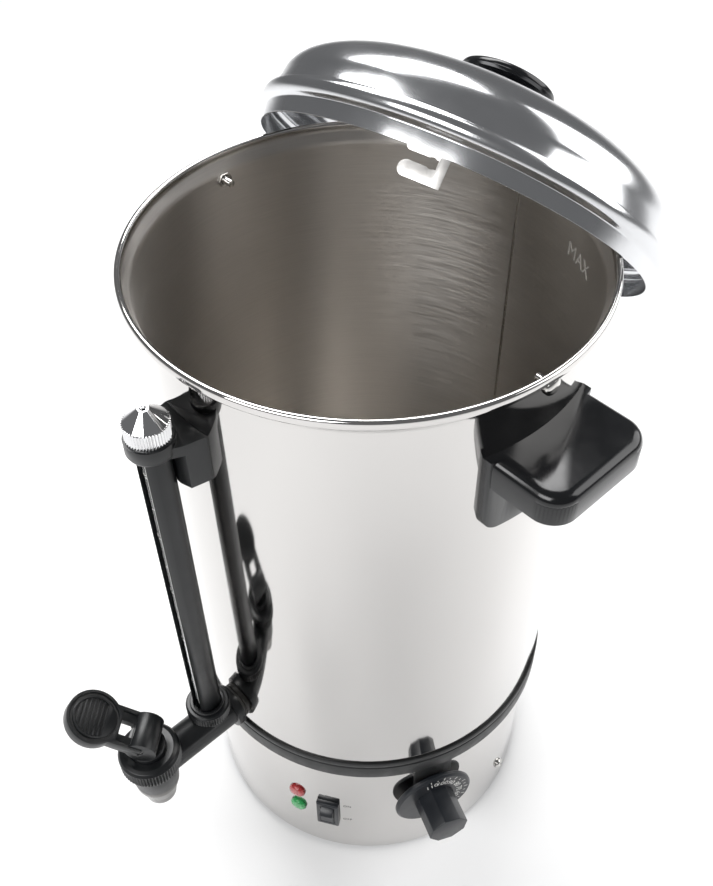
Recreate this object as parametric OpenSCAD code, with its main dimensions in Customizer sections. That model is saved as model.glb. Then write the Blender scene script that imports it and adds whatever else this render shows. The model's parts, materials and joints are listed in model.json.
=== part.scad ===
// Hot water urn: a polished steel tank on a heated base, with a swivel-lever tap,
// a sight gauge, two moulded handles, a thermostat dial and a lift-off lid.
// Upright on +Z. The tank axis is the Z axis and the feet stand on Z = 0.
// The tap points to -Y. Bearings ("az") are turned from -Y towards +X.

/* [Tank] */
// Outer radius of the tank wall
tank_r = 110; // [100:1:130]
// Sheet thickness of the tank and the skirt
sheet_t = 0.7; // [0.6:0.1:1.2]
// Height of the top of the rim
rim_z = 416.3; // [380:0.1:460]
// Height of the underside of the tank floor
floor_z = 121; // [116:1:126]
// Step that stiffens the floor
floor_step = 3; // [2:0.5:4]
// Width of the rolled bead at the rim
bead_w = 3.2; // [2.6:0.1:4]
// Height of the rolled bead at the rim
bead_h = 5.3; // [4.6:0.1:6.5]
// How far the wall flares out below the bead
flare = 3.25; // [2.5:0.05:4]
// Height of the flare
flare_h = 5.5; // [4.5:0.5:8]

/* [Base] */
// How far the base skirt is set in from the tank wall
skirt_step = 3.4; // [2.5:0.1:5]
// Height of the feet below the skirt
foot_h = 4; // [2:0.5:8]
// Radius of a foot
foot_r = 9; // [6:0.5:14]
// How far the feet's centres are set in from the skirt
foot_inset = 20.6; // [15:0.1:35]
// Height of the trim ring's lower edge
trim_z = 113; // [108:1:115]
// Height of the trim ring's upper edge
trim_top = 129.5; // [125:0.5:132]
// How far the trim ring stands out from the tank
trim_proud = 1.2; // [0.8:0.1:1.8]
// Half width of the tab that backs the dial
tab_hw = 12; // [9:1:16]
// Thickness of the tab that backs the dial
tab_t = 1.7; // [1.2:0.1:2.2]
// Height of the skirt screws
screw_z = 29; // [20:1:34]

/* [Controls] */
// Bearing of the dial
dial_az = 68; // [60:1:75]
// Height of the dial's axis
dial_z = 73; // [62:1:80]
// Radius of the dial's numbered skirt
dial_r = 25.2; // [20:0.2:28]
// Depth of the numbered skirt
dial_skirt_h = 3.7; // [3.4:0.1:5]
// Corner radius of the eight-sided grip
grip_r = 12.8; // [10:0.2:16]
// Length of the grip in front of the numbered skirt
grip_h = 22; // [14:1:28]
// Radius of the thermostat shaft
shaft_r = 3; // [2.5:0.1:3.5]
// Bearing of the switch
switch_az = 32.5; // [28:0.5:40]
// Height of the switch's centre
switch_z = 52.3; // [45:0.1:60]
// Width of the switch bezel
bezel_w = 14.4; // [13:0.2:18]
// Height of the switch bezel
bezel_h = 27; // [25:0.5:36]
// Thickness of the switch bezel
bezel_t = 3.4; // [2:0.1:4]
// Half of the rocker's throw
rocker_half = 14; // [8:1:15]
// Bearing of the two lamps
lamp_az = 21.3; // [15:0.1:23]
// Height of the red lamp
red_z = 67; // [62:1:75]
// Height of the green lamp
green_z = 48; // [40:1:52]
// Radius of a lamp lens
lens_r = 5.5; // [4.5:0.1:6.5]

/* [Handles] */
// Half width of the grip
handle_hw = 32.5; // [26:0.5:40]
// How far the grip stands out from the tank wall
handle_out = 35.5; // [28:0.5:45]
// How far the grip's top face lies below the rim
handle_drop = 37.3; // [32:0.1:80]
// Depth of the grip's turned-down edge
handle_lip = 16; // [12:1:22]
// Wall of the moulded handle
handle_t = 3; // [2:0.5:4]
// Corner radius of the grip in plan
handle_cr = 13; // [8:1:18]
// Height of the plate that hugs the tank
plate_h = 45; // [36:1:60]
// Thickness of the plate that hugs the tank
plate_t = 4.5; // [3.5:0.5:6]

/* [Tap] */
// Height of the tap pipe's axis
pipe_z = 141.4; // [140:0.2:150]
// Outer radius of the tap pipe
pipe_r = 10.5; // [9:0.5:11]
// How far the tap's upright axis stands out from the tank wall
tap_out = 60; // [54:1:75]
// Radius of the knurled bonnet
bonnet_r = 17.4; // [15.5:0.2:19]
// Height of the knurled bonnet
bonnet_h = 13; // [12:0.2:16]
// Height of the lever's pin
pin_z = 174.7; // [172:0.1:180]
// Direction of the lever at rest
lever_az = -48.7; // [-60:0.1:60]
// Upward slope of the lever at rest
lever_slope = 30; // [20:1:35]
// Distance from the pin to the middle of the paddle
lever_len = 30; // [28:1:40]
// Radius of the paddle
paddle_r = 15.5; // [12:0.5:17]
// Half width of the lever's arm
arm_hw = 11.3; // [9:0.1:12]
// Thickness of the lever's arm
arm_t = 6; // [5:0.5:7]
// Lift of the valve at the end of the lever's travel
valve_lift = 3; // [2:0.5:4]
// Height of the spout's mouth
spout_z = 110.4; // [104:0.2:114]
// Outer radius of the spout's mouth
spout_r = 8.9; // [8.3:0.1:10]

/* [Gauge] */
// How far the gauge's axis stands out from the tank wall
gauge_out = 18.3; // [18:0.1:21]
// Outer radius of the glass tube
glass_r = 5.9; // [5:0.1:6]
// Wall of the glass tube
glass_t = 1; // [0.8:0.1:1.5]
// Outer radius of the slotted guard
guard_r = 8; // [7.7:0.1:8.4]
// Half width of the guard's slot
slot_hw = 3.8; // [2:0.1:4.5]
// Radius of the lower nut
nut_r = 12.7; // [11.5:0.1:13.5]
// How far the rim of the gauge's upper cup lies below the tank's rim
cup_drop = 34.3; // [28:0.1:80]
// Radius of the gauge's upper cup
cup_r = 11.5; // [10.8:0.1:12.5]
// Radius of the gauge's knurled cap
cap_r = 10.6; // [9.5:0.1:11.2]

/* [Lid] */
// Tilt of the leaning lid
lid_tilt = 47.48; // [45:0.01:50]
// Direction that the leaning lid faces
lid_az = -167.17; // [-180:0.01:-150]
// Rise of the dome from its foot to its crown
dome_rise = 35; // [28:1:45]
// Radius of the lid's knob
knob_r = 26; // [20:0.5:32]
// Height of the knob above the crown
knob_h = 17; // [14:1:28]

/* [Hidden] */
$fn = 96;

// Clearances: fixed parts, running fits, and curved neighbours that never touch
fit = 0.05;
run = 0.06;
gap = 0.3;
over = 1;

// Tank and base, worked out
tank_in = tank_r - sheet_t;
skirt_r = tank_r - skirt_step;
foot_ring = skirt_r - foot_inset;
step_r = tank_r - 11.7;
heater_r = tank_r - 32;
heater_t = 3;
element_r = heater_r - 22.5;
flare_top = rim_z - bead_h + 0.6;
flare_z = flare_top - flare_h;
floor_top = floor_z + floor_step + sheet_t;
skirt_in = skirt_r - sheet_t;
trim_r = tank_r + trim_proud;
ledge_z = floor_z;
pan_z = foot_h + 0.2;
pan_t = 1;
pan_rim = 10;
tab_r = skirt_r + fit + tab_t;
screw_az = [103, 193, 283];
cord_az = 180;
cord_z = 26;
cord_bore = 4.2;

// Dial, switch and lamps, worked out along their own outward axes
bush_r = shaft_r + 2;
stat_size = [36, 30, 24];
neck_r = skirt_r - 9.6;
neck_w = 9;
shaft_in = neck_r - 6;
nut_out = tab_r + 2.6;
dial_back = tab_r + 0.4;
dial_face = dial_back + dial_skirt_h;
well_w = bezel_w - 5.4;
body_w = bezel_w - 2.2;
body_h = bezel_h - 4;
rocker_r = body_h / 2 - 1.4;
rocker_lean = 43;
pivot_r = skirt_r - 1.1;
lens_stem = lens_r - 0.6;

// Handles and the pins above them, worked out
handle_reach = tank_r + handle_out;
handle_z = rim_z - handle_drop;
side_az = [90, -90];
stud_az = 8.4;
// The grip's shoulder: depth below the top face, and inset
shoulder = [[5.2, 0], [3, 0.5], [1.4, 1.6], [0.4, 3.2], [0.01, 5]];
stud_z = handle_z - 27;
stud_r = 2.5;
nut_seat = tank_r + plate_t - 1.3;
lock_z = rim_z - 13.75;
lock_tip = 1.9;

// Tap, worked out
tap_y = tank_r + tap_out;
flange_y = tank_r + 2;
seal_r = pipe_r + 0.2;
stem_r = pipe_r - 2.6;
bore_r = pipe_r - 5;
chamber_r = pipe_r + 2.5;
chamber_in = chamber_r - 4;
bonnet_z = pipe_z + 7;
bonnet_top = bonnet_z + bonnet_h;
chamber_top = bonnet_z + 4;
chamber_z = pipe_z - pipe_r - 0.9;
seat_z = pipe_z - 6.4;
spigot_r = chamber_r - 3.5;
spigot_z = chamber_z - 8;
cup_h = 6.5;
collar_h = 1.7;
spindle_r = 3;
saddle_r = 10.2;
heel_r = pin_z - bonnet_top - 4.7;
eye_hw = 3.1;
eye_r = 4.2;
pin_r = 1.5;
web_z = chamber_top + 0.2;
spring_z = seat_z + cup_h + collar_h;

// Gauge, worked out: its nut sits just above the tap's flange
gauge_y = tank_r + gauge_out;
cup_z = rim_z - cup_drop;
boss_r = 9;
boss_top = pipe_z + 15.6;
nut_z = pipe_z + pipe_r + 2.5 + 0.2;
nut_top = nut_z + 10;
guard_flat = guard_r - 0.7;
guard_top = cup_z - 5;
cup_h0 = 9;
glass_z = boss_top - 7;
block_z = cup_z - 30;
block_top = cup_z - 3;
block_hw = 15;
block_y = tank_r + 9.8;
block_end = tank_r + 11.5;

// Lid, worked out: it leans on the rim's bead, so its sizes follow the bead's centre line
rim_c = tank_r + flare - sheet_t + bead_w / 2;
lid_k = rim_c / 114.15;
flange_r = 108 * lid_k;
flange_h = 8 * lid_k;
lid_bead_r = 112 * lid_k;
lid_tube = 5 * lid_k;
dome_r = 107 * lid_k;
bead_c = lid_bead_r - lid_tube;
bead_z = 13.4 * lid_k;
dome_z = 24 * lid_k;
crown_h = dome_z + dome_rise;
dome_pow = 2.2;
lid_drop = 26.1 * lid_k;
lid_clear = 0.34;
lid_c = [-18.5 * lid_k, 77.11 * lid_k, rim_z - lid_drop + lid_clear];
knob_top = crown_h + knob_h;
knob_edge = knob_top - 7;
bracket_span = [98.4, 109.3];
bracket_low = -13;
slot_h = [-5.8, -1.7];
slot_end = 106.9;
slot_eye = 2.6;
washer_r = 8;

// An arc as points: centre, radius, first and last angle, number of steps
function arc(cx, cy, r, a0, a1, n) =
    [for (i = [0:n]) let (a = a0 + (a1 - a0) * i / n) [cx + r * cos(a), cy + r * sin(a)]];

// Stands its children on the wall at a bearing: local Z points outwards, local Y up
module outward(az, r, z) {
    rotate([0, 0, az]) translate([0, -r, z]) rotate([90, 0, 0]) children();
}

// A ring with a plain bore
module ring(r, bore, h) {
    difference() {
        cylinder(r = r, h = h);
        translate([0, 0, -over]) cylinder(r = bore, h = h + 2 * over);
    }
}

// Straight flutes round a cylinder of radius r
module flutes(r, n, size, h) {
    for (i = [0:n - 1])
        rotate([0, 0, 360 * i / n]) translate([r + size * 0.35, 0, 0])
            cylinder(r = size, h = h, $fn = 16);
}

// What the tank's outside takes up, so that pieces seat on its curve
module tank_space(clear) {
    rotate_extrude() polygon([
        [0, floor_z], [tank_r + clear, floor_z], [tank_r + clear, flare_z],
        [tank_r + flare + clear, flare_top], [tank_r + flare + clear, rim_z], [0, rim_z]
    ]);
}

// ---------------------------------------------------------------- tank

module tank_profile() {
    bead_mid = tank_r + flare - sheet_t + bead_w / 2;
    bead_low = rim_z - bead_h + bead_w / 2;
    polygon([
        [0, floor_z + floor_step], [step_r - 3, floor_z + floor_step], [step_r, floor_z],
        [tank_r, floor_z], [tank_r, flare_z], [tank_r + flare, flare_top],
        [tank_r + flare, flare_top + 2], [tank_r + flare - sheet_t, flare_top + 2],
        [tank_r + flare - sheet_t, flare_top + 0.3], [tank_in, flare_z + 0.3],
        [tank_in, floor_z + sheet_t + 2], [tank_in - 2, floor_z + sheet_t],
        [step_r - 0.3, floor_z + sheet_t], [step_r - 3.3, floor_top], [0, floor_top]
    ]);
    polygon(concat(
        arc(bead_mid, rim_z - bead_w / 2, bead_w / 2, 0, 180, 12),
        arc(bead_mid, bead_low, bead_w / 2, 180, 360, 12)
    ));
}

module tank() {
    color("silver") difference() {
        rotate_extrude($fn = 180) tank_profile();
        outward(0, tank_r - 5, pipe_z) cylinder(r = stem_r + fit, h = 10);
        for (az = side_az)
            outward(az, tank_r - 5, lock_z) cylinder(r = stud_r + fit, h = 10);
    }
}

// ---------------------------------------------------------------- base

module base_skirt() {
    color("silver") difference() {
        translate([0, 0, foot_h]) ring(skirt_r, skirt_in, ledge_z - foot_h);
        outward(dial_az, skirt_r - 5, dial_z) cylinder(r = bush_r + gap, h = 10);
        outward(switch_az, skirt_r, switch_z)
            cube([body_w + 0.2, body_h + 0.2, 20], center = true);
        for (z = [red_z, green_z])
            outward(lamp_az, skirt_r - 5, z) cylinder(r = lens_stem + 0.1, h = 10);
        for (az = screw_az)
            outward(az, skirt_r - 5, screw_z) cylinder(r = 2.1, h = 10);
        outward(cord_az, skirt_r - 5, cord_z) cylinder(r = 7, h = 10);
    }
}

module base_pan() {
    pan_r = skirt_in - 0.1;
    color("dimgray") difference() {
        union() {
            translate([0, 0, pan_z]) cylinder(r = pan_r, h = pan_t);
            translate([0, 0, pan_z]) ring(pan_r, pan_r - pan_t, pan_rim);
            for (az = screw_az) intersection() {
                translate([0, 0, pan_z]) ring(pan_r, pan_r - pan_t, screw_z - pan_z + 8);
                rotate([0, 0, az]) translate([-8, -pan_r - over, 0]) cube([16, 12, screw_z + 10]);
            }
        }
        for (i = [0:3]) rotate([0, 0, 45 + 90 * i])
            translate([0, -foot_ring, pan_z - over]) cylinder(r = 3.1, h = 4);
        for (az = screw_az)
            outward(az, pan_r - 5, screw_z) cylinder(r = 2.1, h = 10);
        // Cooling slots
        for (i = [-4:4])
            translate([i * 9 - 2, -28, pan_z - over]) cube([4, 56, 4]);
    }
}

module feet() {
    color([0.12, 0.12, 0.12]) for (i = [0:3])
        rotate([0, 0, 45 + 90 * i]) translate([0, -foot_ring, 0])
            rotate_extrude() polygon([
                [0, 0], [foot_r - 1.5, 0], [foot_r, 1.2], [foot_r, pan_z], [3, pan_z],
                [3, pan_z + pan_t], [4.2, pan_z + pan_t + 0.1], [2.4, pan_z + pan_t + 4],
                [0, pan_z + pan_t + 4]
            ]);
}

module skirt_screws() {
    color("silver") for (az = screw_az) outward(az, skirt_r - 6, screw_z) {
        cylinder(r = 2, h = 7);
        difference() {
            translate([0, 0, 6 + fit]) rotate_extrude() polygon([
                [0, 0], [3.6, 0], [3.6, 0.6], [3, 1.5], [1.8, 2.1], [0, 2.3]
            ]);
            for (turn = [0, 90]) rotate([0, 0, turn])
                translate([-2, -0.4, 7.4]) cube([4, 0.8, 2]);
        }
    }
}

module trim_ring() {
    inner = tank_r + fit;
    color([0.1, 0.1, 0.1]) difference() {
        union() {
            rotate_extrude($fn = 180) polygon([
                [skirt_r + fit, trim_z], [trim_r - 1, trim_z], [trim_r, trim_z + 1],
                [trim_r, trim_top - 5.2], [trim_r - 0.6, trim_top - 4.6],
                [trim_r - 0.6, trim_top - 4], [trim_r, trim_top - 3.4],
                [trim_r, trim_top - 0.8], [trim_r - 0.4, trim_top], [inner, trim_top],
                [inner, ledge_z], [skirt_r + fit, ledge_z]
            ]);
            // The tab behind the dial, rounded about the dial's axis
            intersection() {
                translate([0, 0, dial_z - tab_hw - over])
                    ring(tab_r, skirt_r + fit, trim_z - dial_z + tab_hw + 2);
                union() {
                    outward(dial_az, skirt_r - 10, dial_z) cylinder(r = tab_hw, h = 30);
                    rotate([0, 0, dial_az]) translate([-tab_hw, -skirt_r - 10, dial_z])
                        cube([2 * tab_hw, 30, trim_z - dial_z + 0.5]);
                }
            }
        }
        outward(dial_az, skirt_r - 5, dial_z) cylinder(r = bush_r + gap, h = 15);
    }
}

// ---------------------------------------------------------------- heating and controls

module heater_plate() {
    color("lightgray") translate([0, 0, floor_z + floor_step - heater_t])
        cylinder(r = heater_r, h = heater_t);
}

module heating_element() {
    top = floor_z + floor_step - heater_t;
    color("gray") {
        rotate([0, 0, -60]) rotate_extrude(angle = 300) polygon([
            [element_r - 3.5, top], [element_r - 3.5, top - 4], [element_r - 1.5, top - 6],
            [element_r + 1.5, top - 6], [element_r + 3.5, top - 4], [element_r + 3.5, top]
        ]);
        // Cold ends turned down to the terminals
        for (turn = [-57, 237])
            rotate([0, 0, turn]) translate([element_r, 0, top - 22]) cylinder(r = 2.5, h = 17);
    }
}

module thermal_cutout() {
    top = floor_z + floor_step - heater_t;
    color("tan") translate([20, 0, top - 9]) {
        cylinder(r = 8, h = 9);
        for (s = [-1, 1]) translate([s * 4.5 - 0.4, -3, -7]) cube([0.8, 6, 7.5]);
    }
}

module terminal_block() {
    floor = pan_z + pan_t;
    color("ivory") difference() {
        translate([-18, 58, floor]) cube([36, 18, 15]);
        for (i = [-1:1]) translate([i * 11, 50, floor + 7]) rotate([-90, 0, 0])
            cylinder(r = 2.2, h = 40);
    }
}

module cord_bush() {
    color([0.1, 0.1, 0.1]) outward(cord_az, skirt_in - 2, cord_z) difference() {
        rotate_extrude() polygon([
            [cord_bore, 0], [8.2, 0], [8.2, 1.4], [6.8, 1.4], [6.8, 2 + sheet_t + fit],
            [9.5, 2 + sheet_t + fit], [9.5, 4], [8, 5.2], [cord_bore, 5.2]
        ]);
    }
}

module thermostat_body() {
    color("darkgray") difference() {
        union() {
            outward(dial_az, neck_r - stat_size[2] + over, dial_z)
                translate([-stat_size[0] / 2, -stat_size[1] / 2, 0]) cube(stat_size);
            outward(dial_az, neck_r, dial_z) cylinder(r = neck_w, h = skirt_in - neck_r - 0.6);
            outward(dial_az, neck_r, dial_z) cylinder(r = bush_r, h = nut_out - neck_r - 0.2);
        }
        outward(dial_az, shaft_in - over, dial_z) cylinder(r = shaft_r + run, h = 40);
    }
}

module thermostat_nut() {
    color("goldenrod") outward(dial_az, tab_r + fit, dial_z) difference() {
        cylinder(r = 8, h = 2, $fn = 6);
        translate([0, 0, -over]) cylinder(r = bush_r + fit, h = 4);
    }
}

module thermostat_shaft() {
    color("goldenrod") outward(dial_az, shaft_in, dial_z)
        cylinder(r = shaft_r, h = dial_face + 10 - shaft_in);
}

module dial() {
    color([0.1, 0.1, 0.1]) outward(dial_az, dial_back, dial_z) difference() {
        union() {
            rotate_extrude() polygon([
                [0, 0], [dial_r - 0.7, 0], [dial_r, 0.8], [dial_r, dial_skirt_h - 1.2],
                [dial_r - 1.2, dial_skirt_h], [0, dial_skirt_h]
            ]);
            intersection() {
                rotate([0, 0, 13]) translate([0, 0, over])
                    cylinder(r = grip_r, h = dial_skirt_h + grip_h - over, $fn = 8);
                cylinder(r1 = grip_r + 12, r2 = grip_r - 1.4, h = dial_skirt_h + grip_h);
            }
        }
        // Room for the thermostat's nut and seat for its shaft
        translate([0, 0, -over]) cylinder(r = 9.2, h = 2.5 + over);
        translate([0, 0, -over]) cylinder(r = shaft_r + 0.01, h = dial_skirt_h + 10 + over + 0.2);
    }
}

module switch_housing() {
    color([0.1, 0.1, 0.1]) outward(switch_az, skirt_r + 0.02, switch_z) difference() {
        union() {
            difference() {
                translate([-bezel_w / 2, -bezel_h / 2, 0]) cube([bezel_w, bezel_h, bezel_t]);
                for (s = [-1, 1]) translate([s * (bezel_w / 2), 0, bezel_t]) rotate([0, 45, 0])
                    cube([1, bezel_h + over, 1], center = true);
                for (s = [-1, 1]) translate([0, s * (bezel_h / 2), bezel_t]) rotate([45, 0, 0])
                    cube([bezel_w + over, 1, 1], center = true);
            }
            translate([-body_w / 2, -body_h / 2, -26]) cube([body_w, body_h, 26 + 0.5]);
        }
        // Well for the rocker
        translate([-well_w / 2, -rocker_r - gap, -8])
            cube([well_w, 2 * (rocker_r + gap), 8 + bezel_t + over]);
        translate([0, 0, pivot_r - skirt_r]) rotate([0, 90, 0])
            cylinder(r = 1.2 + run, h = well_w + 0.9, center = true);
    }
}

// The rocker at rest: its lower half is pressed in, its upper half stands out
module switch_rocker() {
    half = rocker_r * cos(rocker_lean);
    rise = rocker_r * sin(rocker_lean);
    color([0.08, 0.08, 0.08]) outward(switch_az, pivot_r + 0.02, switch_z)
        rotate([rocker_half, 0, 0]) {
            intersection() {
                rotate([0, 90, 0]) cylinder(r = rocker_r, h = well_w - 0.6, center = true);
                rotate([90, 0, 90]) translate([0, 0, -well_w / 2])
                    linear_extrude(height = well_w) polygon([
                        [-half - 3, -3], [half + 3, -3], [half + 3, rise + 0.3],
                        [half, rise], [0, rise - half * tan(rocker_half)], [-half, rise], [-half - 3, rise + 0.3]
                    ]);
            }
            rotate([0, 90, 0]) cylinder(r = 1.2, h = well_w + 0.7, center = true);
        }
}

module lamp(z) {
    outward(lamp_az, skirt_r + fit, z) {
        rotate_extrude() polygon(concat(
            [[0, -9], [lens_stem, -9], [lens_stem, 0], [lens_r, 0], [lens_r, 0.9]],
            arc(0, 0.9, lens_r - 0.6, 10, 90, 8) * [[1, 0], [0, 0.5]] + [for (i = [0:8]) [0, 0.45]]
        ));
    }
}

module lamp_red() {
    color("red") lamp(red_z);
}

module lamp_green() {
    color("green") lamp(green_z);
}

module lamp_holders() {
    color([0.15, 0.15, 0.15]) for (z = [red_z, green_z])
        outward(lamp_az, skirt_r - 22, z) difference() {
            cylinder(r = lens_r + 0.7, h = 20.9 - sheet_t + 0.7);
            translate([0, 0, 12]) cylinder(r = lens_stem + fit, h = 12);
        }
}

// ---------------------------------------------------------------- handles

module grip_plan(inset) {
    hw = handle_hw - inset;
    r = handle_cr - inset;
    front = handle_reach - inset;
    translate([-hw, -front + r]) square([2 * hw, front - r - tank_r + 8]);
    translate([-hw + r, -front]) square([2 * (hw - r), r + over]);
    for (s = [-1, 1]) translate([s * (hw - r), -front + r]) circle(r = r, $fn = 48);
}

// A moulded handle that points to -Y before it is turned to its side
module handle() {
    difference() {
        union() {
            // Grip with a full, rounded shoulder
            difference() {
                union() {
                    translate([0, 0, handle_z - handle_lip])
                        linear_extrude(height = handle_lip - shoulder[0][0] + 0.01) grip_plan(0);
                    for (i = [0:len(shoulder) - 2]) hull() {
                        translate([0, 0, handle_z - shoulder[i][0]])
                            linear_extrude(height = 0.01) grip_plan(shoulder[i][1]);
                        translate([0, 0, handle_z - shoulder[i + 1][0]])
                            linear_extrude(height = 0.01) grip_plan(shoulder[i + 1][1]);
                    }
                }
                translate([0, 0, handle_z - handle_lip - over])
                    linear_extrude(height = handle_lip + over - handle_t) intersection() {
                        grip_plan(handle_t);
                        translate([-2 * handle_hw, -handle_reach - over])
                            square([4 * handle_hw, handle_reach + over - tank_r - plate_t]);
                    }
            }
            // Plate that hugs the tank
            intersection() {
                translate([0, 0, handle_z - plate_h]) ring(tank_r + plate_t, tank_r, plate_h);
                translate([0, -tank_r + 20, 0]) rotate([90, 0, 0])
                    linear_extrude(height = 40) plate_outline();
            }
        }
        cylinder(r = tank_r + fit, h = rim_z, $fn = 180);
        for (s = [-1, 1]) {
            outward(s * stud_az, tank_r - 2, stud_z) cylinder(r = stud_r + 0.2, h = 12);
            outward(s * stud_az, nut_seat, stud_z) cylinder(r = 6, h = 12);
        }
    }
}

module plate_outline() {
    hw = handle_hw + 1;
    low = handle_z - plate_h;
    r = 8;
    translate([-hw, low + r]) square([2 * hw, plate_h - r]);
    translate([-hw + r, low]) square([2 * (hw - r), r + over]);
    for (s = [-1, 1]) translate([s * (hw - r), low + r]) circle(r = r, $fn = 48);
}

module handle_right() {
    color([0.1, 0.1, 0.1]) rotate([0, 0, side_az[0]]) handle();
}

module handle_left() {
    color([0.1, 0.1, 0.1]) rotate([0, 0, side_az[1]]) handle();
}

module handle_studs() {
    color("silver") for (az = side_az, s = [-1, 1]) difference() {
        outward(az + s * stud_az, tank_r - over, stud_z)
            cylinder(r = stud_r, h = nut_seat - tank_r + 6.5 + over);
        cylinder(r = tank_r, h = rim_z, $fn = 180);
    }
}

module handle_nuts() {
    color("silver") for (az = side_az, s = [-1, 1])
        outward(az + s * stud_az, nut_seat, stud_z) difference() {
            cylinder(r = 4.6, h = 4, $fn = 6);
            translate([0, 0, -over]) cylinder(r = stud_r + fit, h = 6);
        }
}

// Pins that the lid's hooks turn under: domed head outside, plain tip inside
module lid_lock_pins() {
    color("silver") for (az = side_az) {
        difference() {
            outward(az, tank_r - 0.5, lock_z) rotate_extrude() polygon(concat(
                [[0, 0], [4.6, 0], [4.6, 1.4]], arc(0, 1.4, 4.6, 10, 90, 8) * [[1, 0], [0, 0.45]]
                + [for (i = [0:8]) [0, 0.77]]
            ));
            tank_space(0.02);
        }
        outward(az, tank_r - 3, lock_z) cylinder(r = stud_r, h = 4);
        outward(az, tank_r - 7.5, lock_z) cylinder(r = lock_tip, h = 6);
    }
}

module lid_lock_nuts() {
    color("silver") for (az = side_az) intersection() {
        outward(az, tank_in - 1.8, lock_z) difference() {
            cylinder(r = 4.2, h = 4, $fn = 6);
            translate([0, 0, -over]) cylinder(r = stud_r + fit, h = 6);
        }
        cylinder(r = tank_in - 0.02, h = flare_z + 20, $fn = 180);
    }
}

// ---------------------------------------------------------------- tap

// Places children on the tap's upright axis
module at_tap() {
    translate([0, -tap_y, 0]) children();
}

// Places children on the gauge's upright axis
module at_gauge() {
    translate([0, -gauge_y, 0]) children();
}

module tap_body() {
    color([0.1, 0.1, 0.1]) difference() {
        union() {
            outward(0, tank_r - 12, pipe_z) cylinder(r = stem_r, h = 14 + over);
            outward(0, flange_y, pipe_z) cylinder(r = pipe_r + 2.5, h = 5);
            outward(0, flange_y, pipe_z) cylinder(r = pipe_r, h = tap_y - flange_y);
            at_tap() translate([0, 0, chamber_z])
                cylinder(r = chamber_r, h = chamber_top - chamber_z);
            at_tap() translate([0, 0, spigot_z]) cylinder(r = spigot_r, h = 10);
            at_gauge() translate([0, 0, pipe_z]) cylinder(r = boss_r, h = boss_top - pipe_z);
        }
        outward(0, tank_r - 13, pipe_z) cylinder(r = bore_r, h = tap_y - tank_r + 13);
        at_tap() translate([0, 0, seat_z]) cylinder(r = chamber_in, h = 40);
        at_tap() translate([0, 0, spigot_z - over]) cylinder(r = 5.5, h = 30);
        at_gauge() translate([0, 0, pipe_z]) cylinder(r = 3, h = 40);
        at_gauge() translate([0, 0, glass_z]) cylinder(r = glass_r + 1.2, h = 20);
        // Seat in the pipe's top for the bonnet's skirt
        at_tap() translate([0, 0, bonnet_z - gap]) difference() {
            cylinder(r = bonnet_r + gap, h = pipe_r);
            translate([0, 0, -over]) cylinder(r = chamber_r, h = pipe_r + 2 * over);
        }
    }
}

module tap_seal_outer() {
    color("whitesmoke") difference() {
        outward(0, tank_r - 1, pipe_z) cylinder(r = seal_r, h = flange_y - tank_r + over);
        outward(0, tank_r - 5, pipe_z) cylinder(r = stem_r + fit, h = 10);
        cylinder(r = tank_r + 0.02, h = rim_z, $fn = 180);
    }
}

module tap_seal_inner() {
    color("whitesmoke") intersection() {
        outward(0, tank_in - 3.2, pipe_z) difference() {
            cylinder(r = seal_r + 0.8, h = 5);
            translate([0, 0, -over]) cylinder(r = stem_r + fit, h = 8);
        }
        cylinder(r = tank_in - 0.02, h = rim_z, $fn = 180);
    }
}

module tap_lock_nut() {
    color([0.15, 0.15, 0.15]) outward(0, tank_in - 8.2, pipe_z) difference() {
        cylinder(r = pipe_r + 3.5, h = 5, $fn = 6);
        translate([0, 0, -over]) cylinder(r = stem_r + fit, h = 7);
    }
}

module tap_spout() {
    color("lightgray") at_tap() rotate_extrude() polygon([
        [spigot_r + fit, chamber_z], [chamber_r, chamber_z], [chamber_r - 0.4, chamber_z - 4],
        [spout_r + 1, spout_z + 6], [spout_r, spout_z], [spout_r - 1.4, spout_z],
        [spout_r - 1.4, spigot_z - 0.2], [spigot_r + fit, spigot_z - 0.2]
    ]);
}

module tap_bonnet() {
    color([0.1, 0.1, 0.1]) at_tap() difference() {
        rotate_extrude() polygon([
            [chamber_r + fit, bonnet_z], [bonnet_r - 0.8, bonnet_z], [bonnet_r, bonnet_z + 0.8],
            [bonnet_r, bonnet_top - 2.4], [bonnet_r - 1.2, bonnet_top - 0.8],
            [bonnet_r - 3.4, bonnet_top], [6 + run, bonnet_top], [6 + run, bonnet_top - 4],
            [spindle_r + run, bonnet_top - 4], [spindle_r + run, web_z],
            [chamber_r + fit, web_z]
        ]);
        translate([0, 0, bonnet_z - over]) flutes(bonnet_r, 48, 0.7, bonnet_h - 1.6);
    }
}

// The saddle turns on the bonnet and carries the lever's heel
module tap_saddle() {
    top = pin_z - heel_r - 0.15;
    color("dimgray") at_tap() rotate_extrude() polygon([
        [spindle_r + run, bonnet_top - 4 + 0.1], [6, bonnet_top - 4 + 0.1], [6, bonnet_top + 0.1],
        [saddle_r, bonnet_top + 0.1], [saddle_r, top - 0.6], [saddle_r - 0.6, top],
        [spindle_r + run, top]
    ]);
}

module valve_stem() {
    collar = seat_z + cup_h;
    color("lightgray") at_tap() difference() {
        union() {
            translate([0, 0, collar]) cylinder(r = 7, h = collar_h);
            translate([0, 0, collar - 3]) cylinder(r = 2.5, h = 4);
            translate([0, 0, collar]) cylinder(r = spindle_r, h = pin_z - collar);
            rotate([0, 0, lever_az]) translate([0, 0, pin_z]) rotate([0, 90, 0])
                cylinder(r = eye_r, h = 2 * eye_hw, center = true);
        }
        rotate([0, 0, lever_az]) translate([0, 0, pin_z]) rotate([0, 90, 0])
            cylinder(r = pin_r + fit, h = 20, center = true);
    }
}

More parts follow.
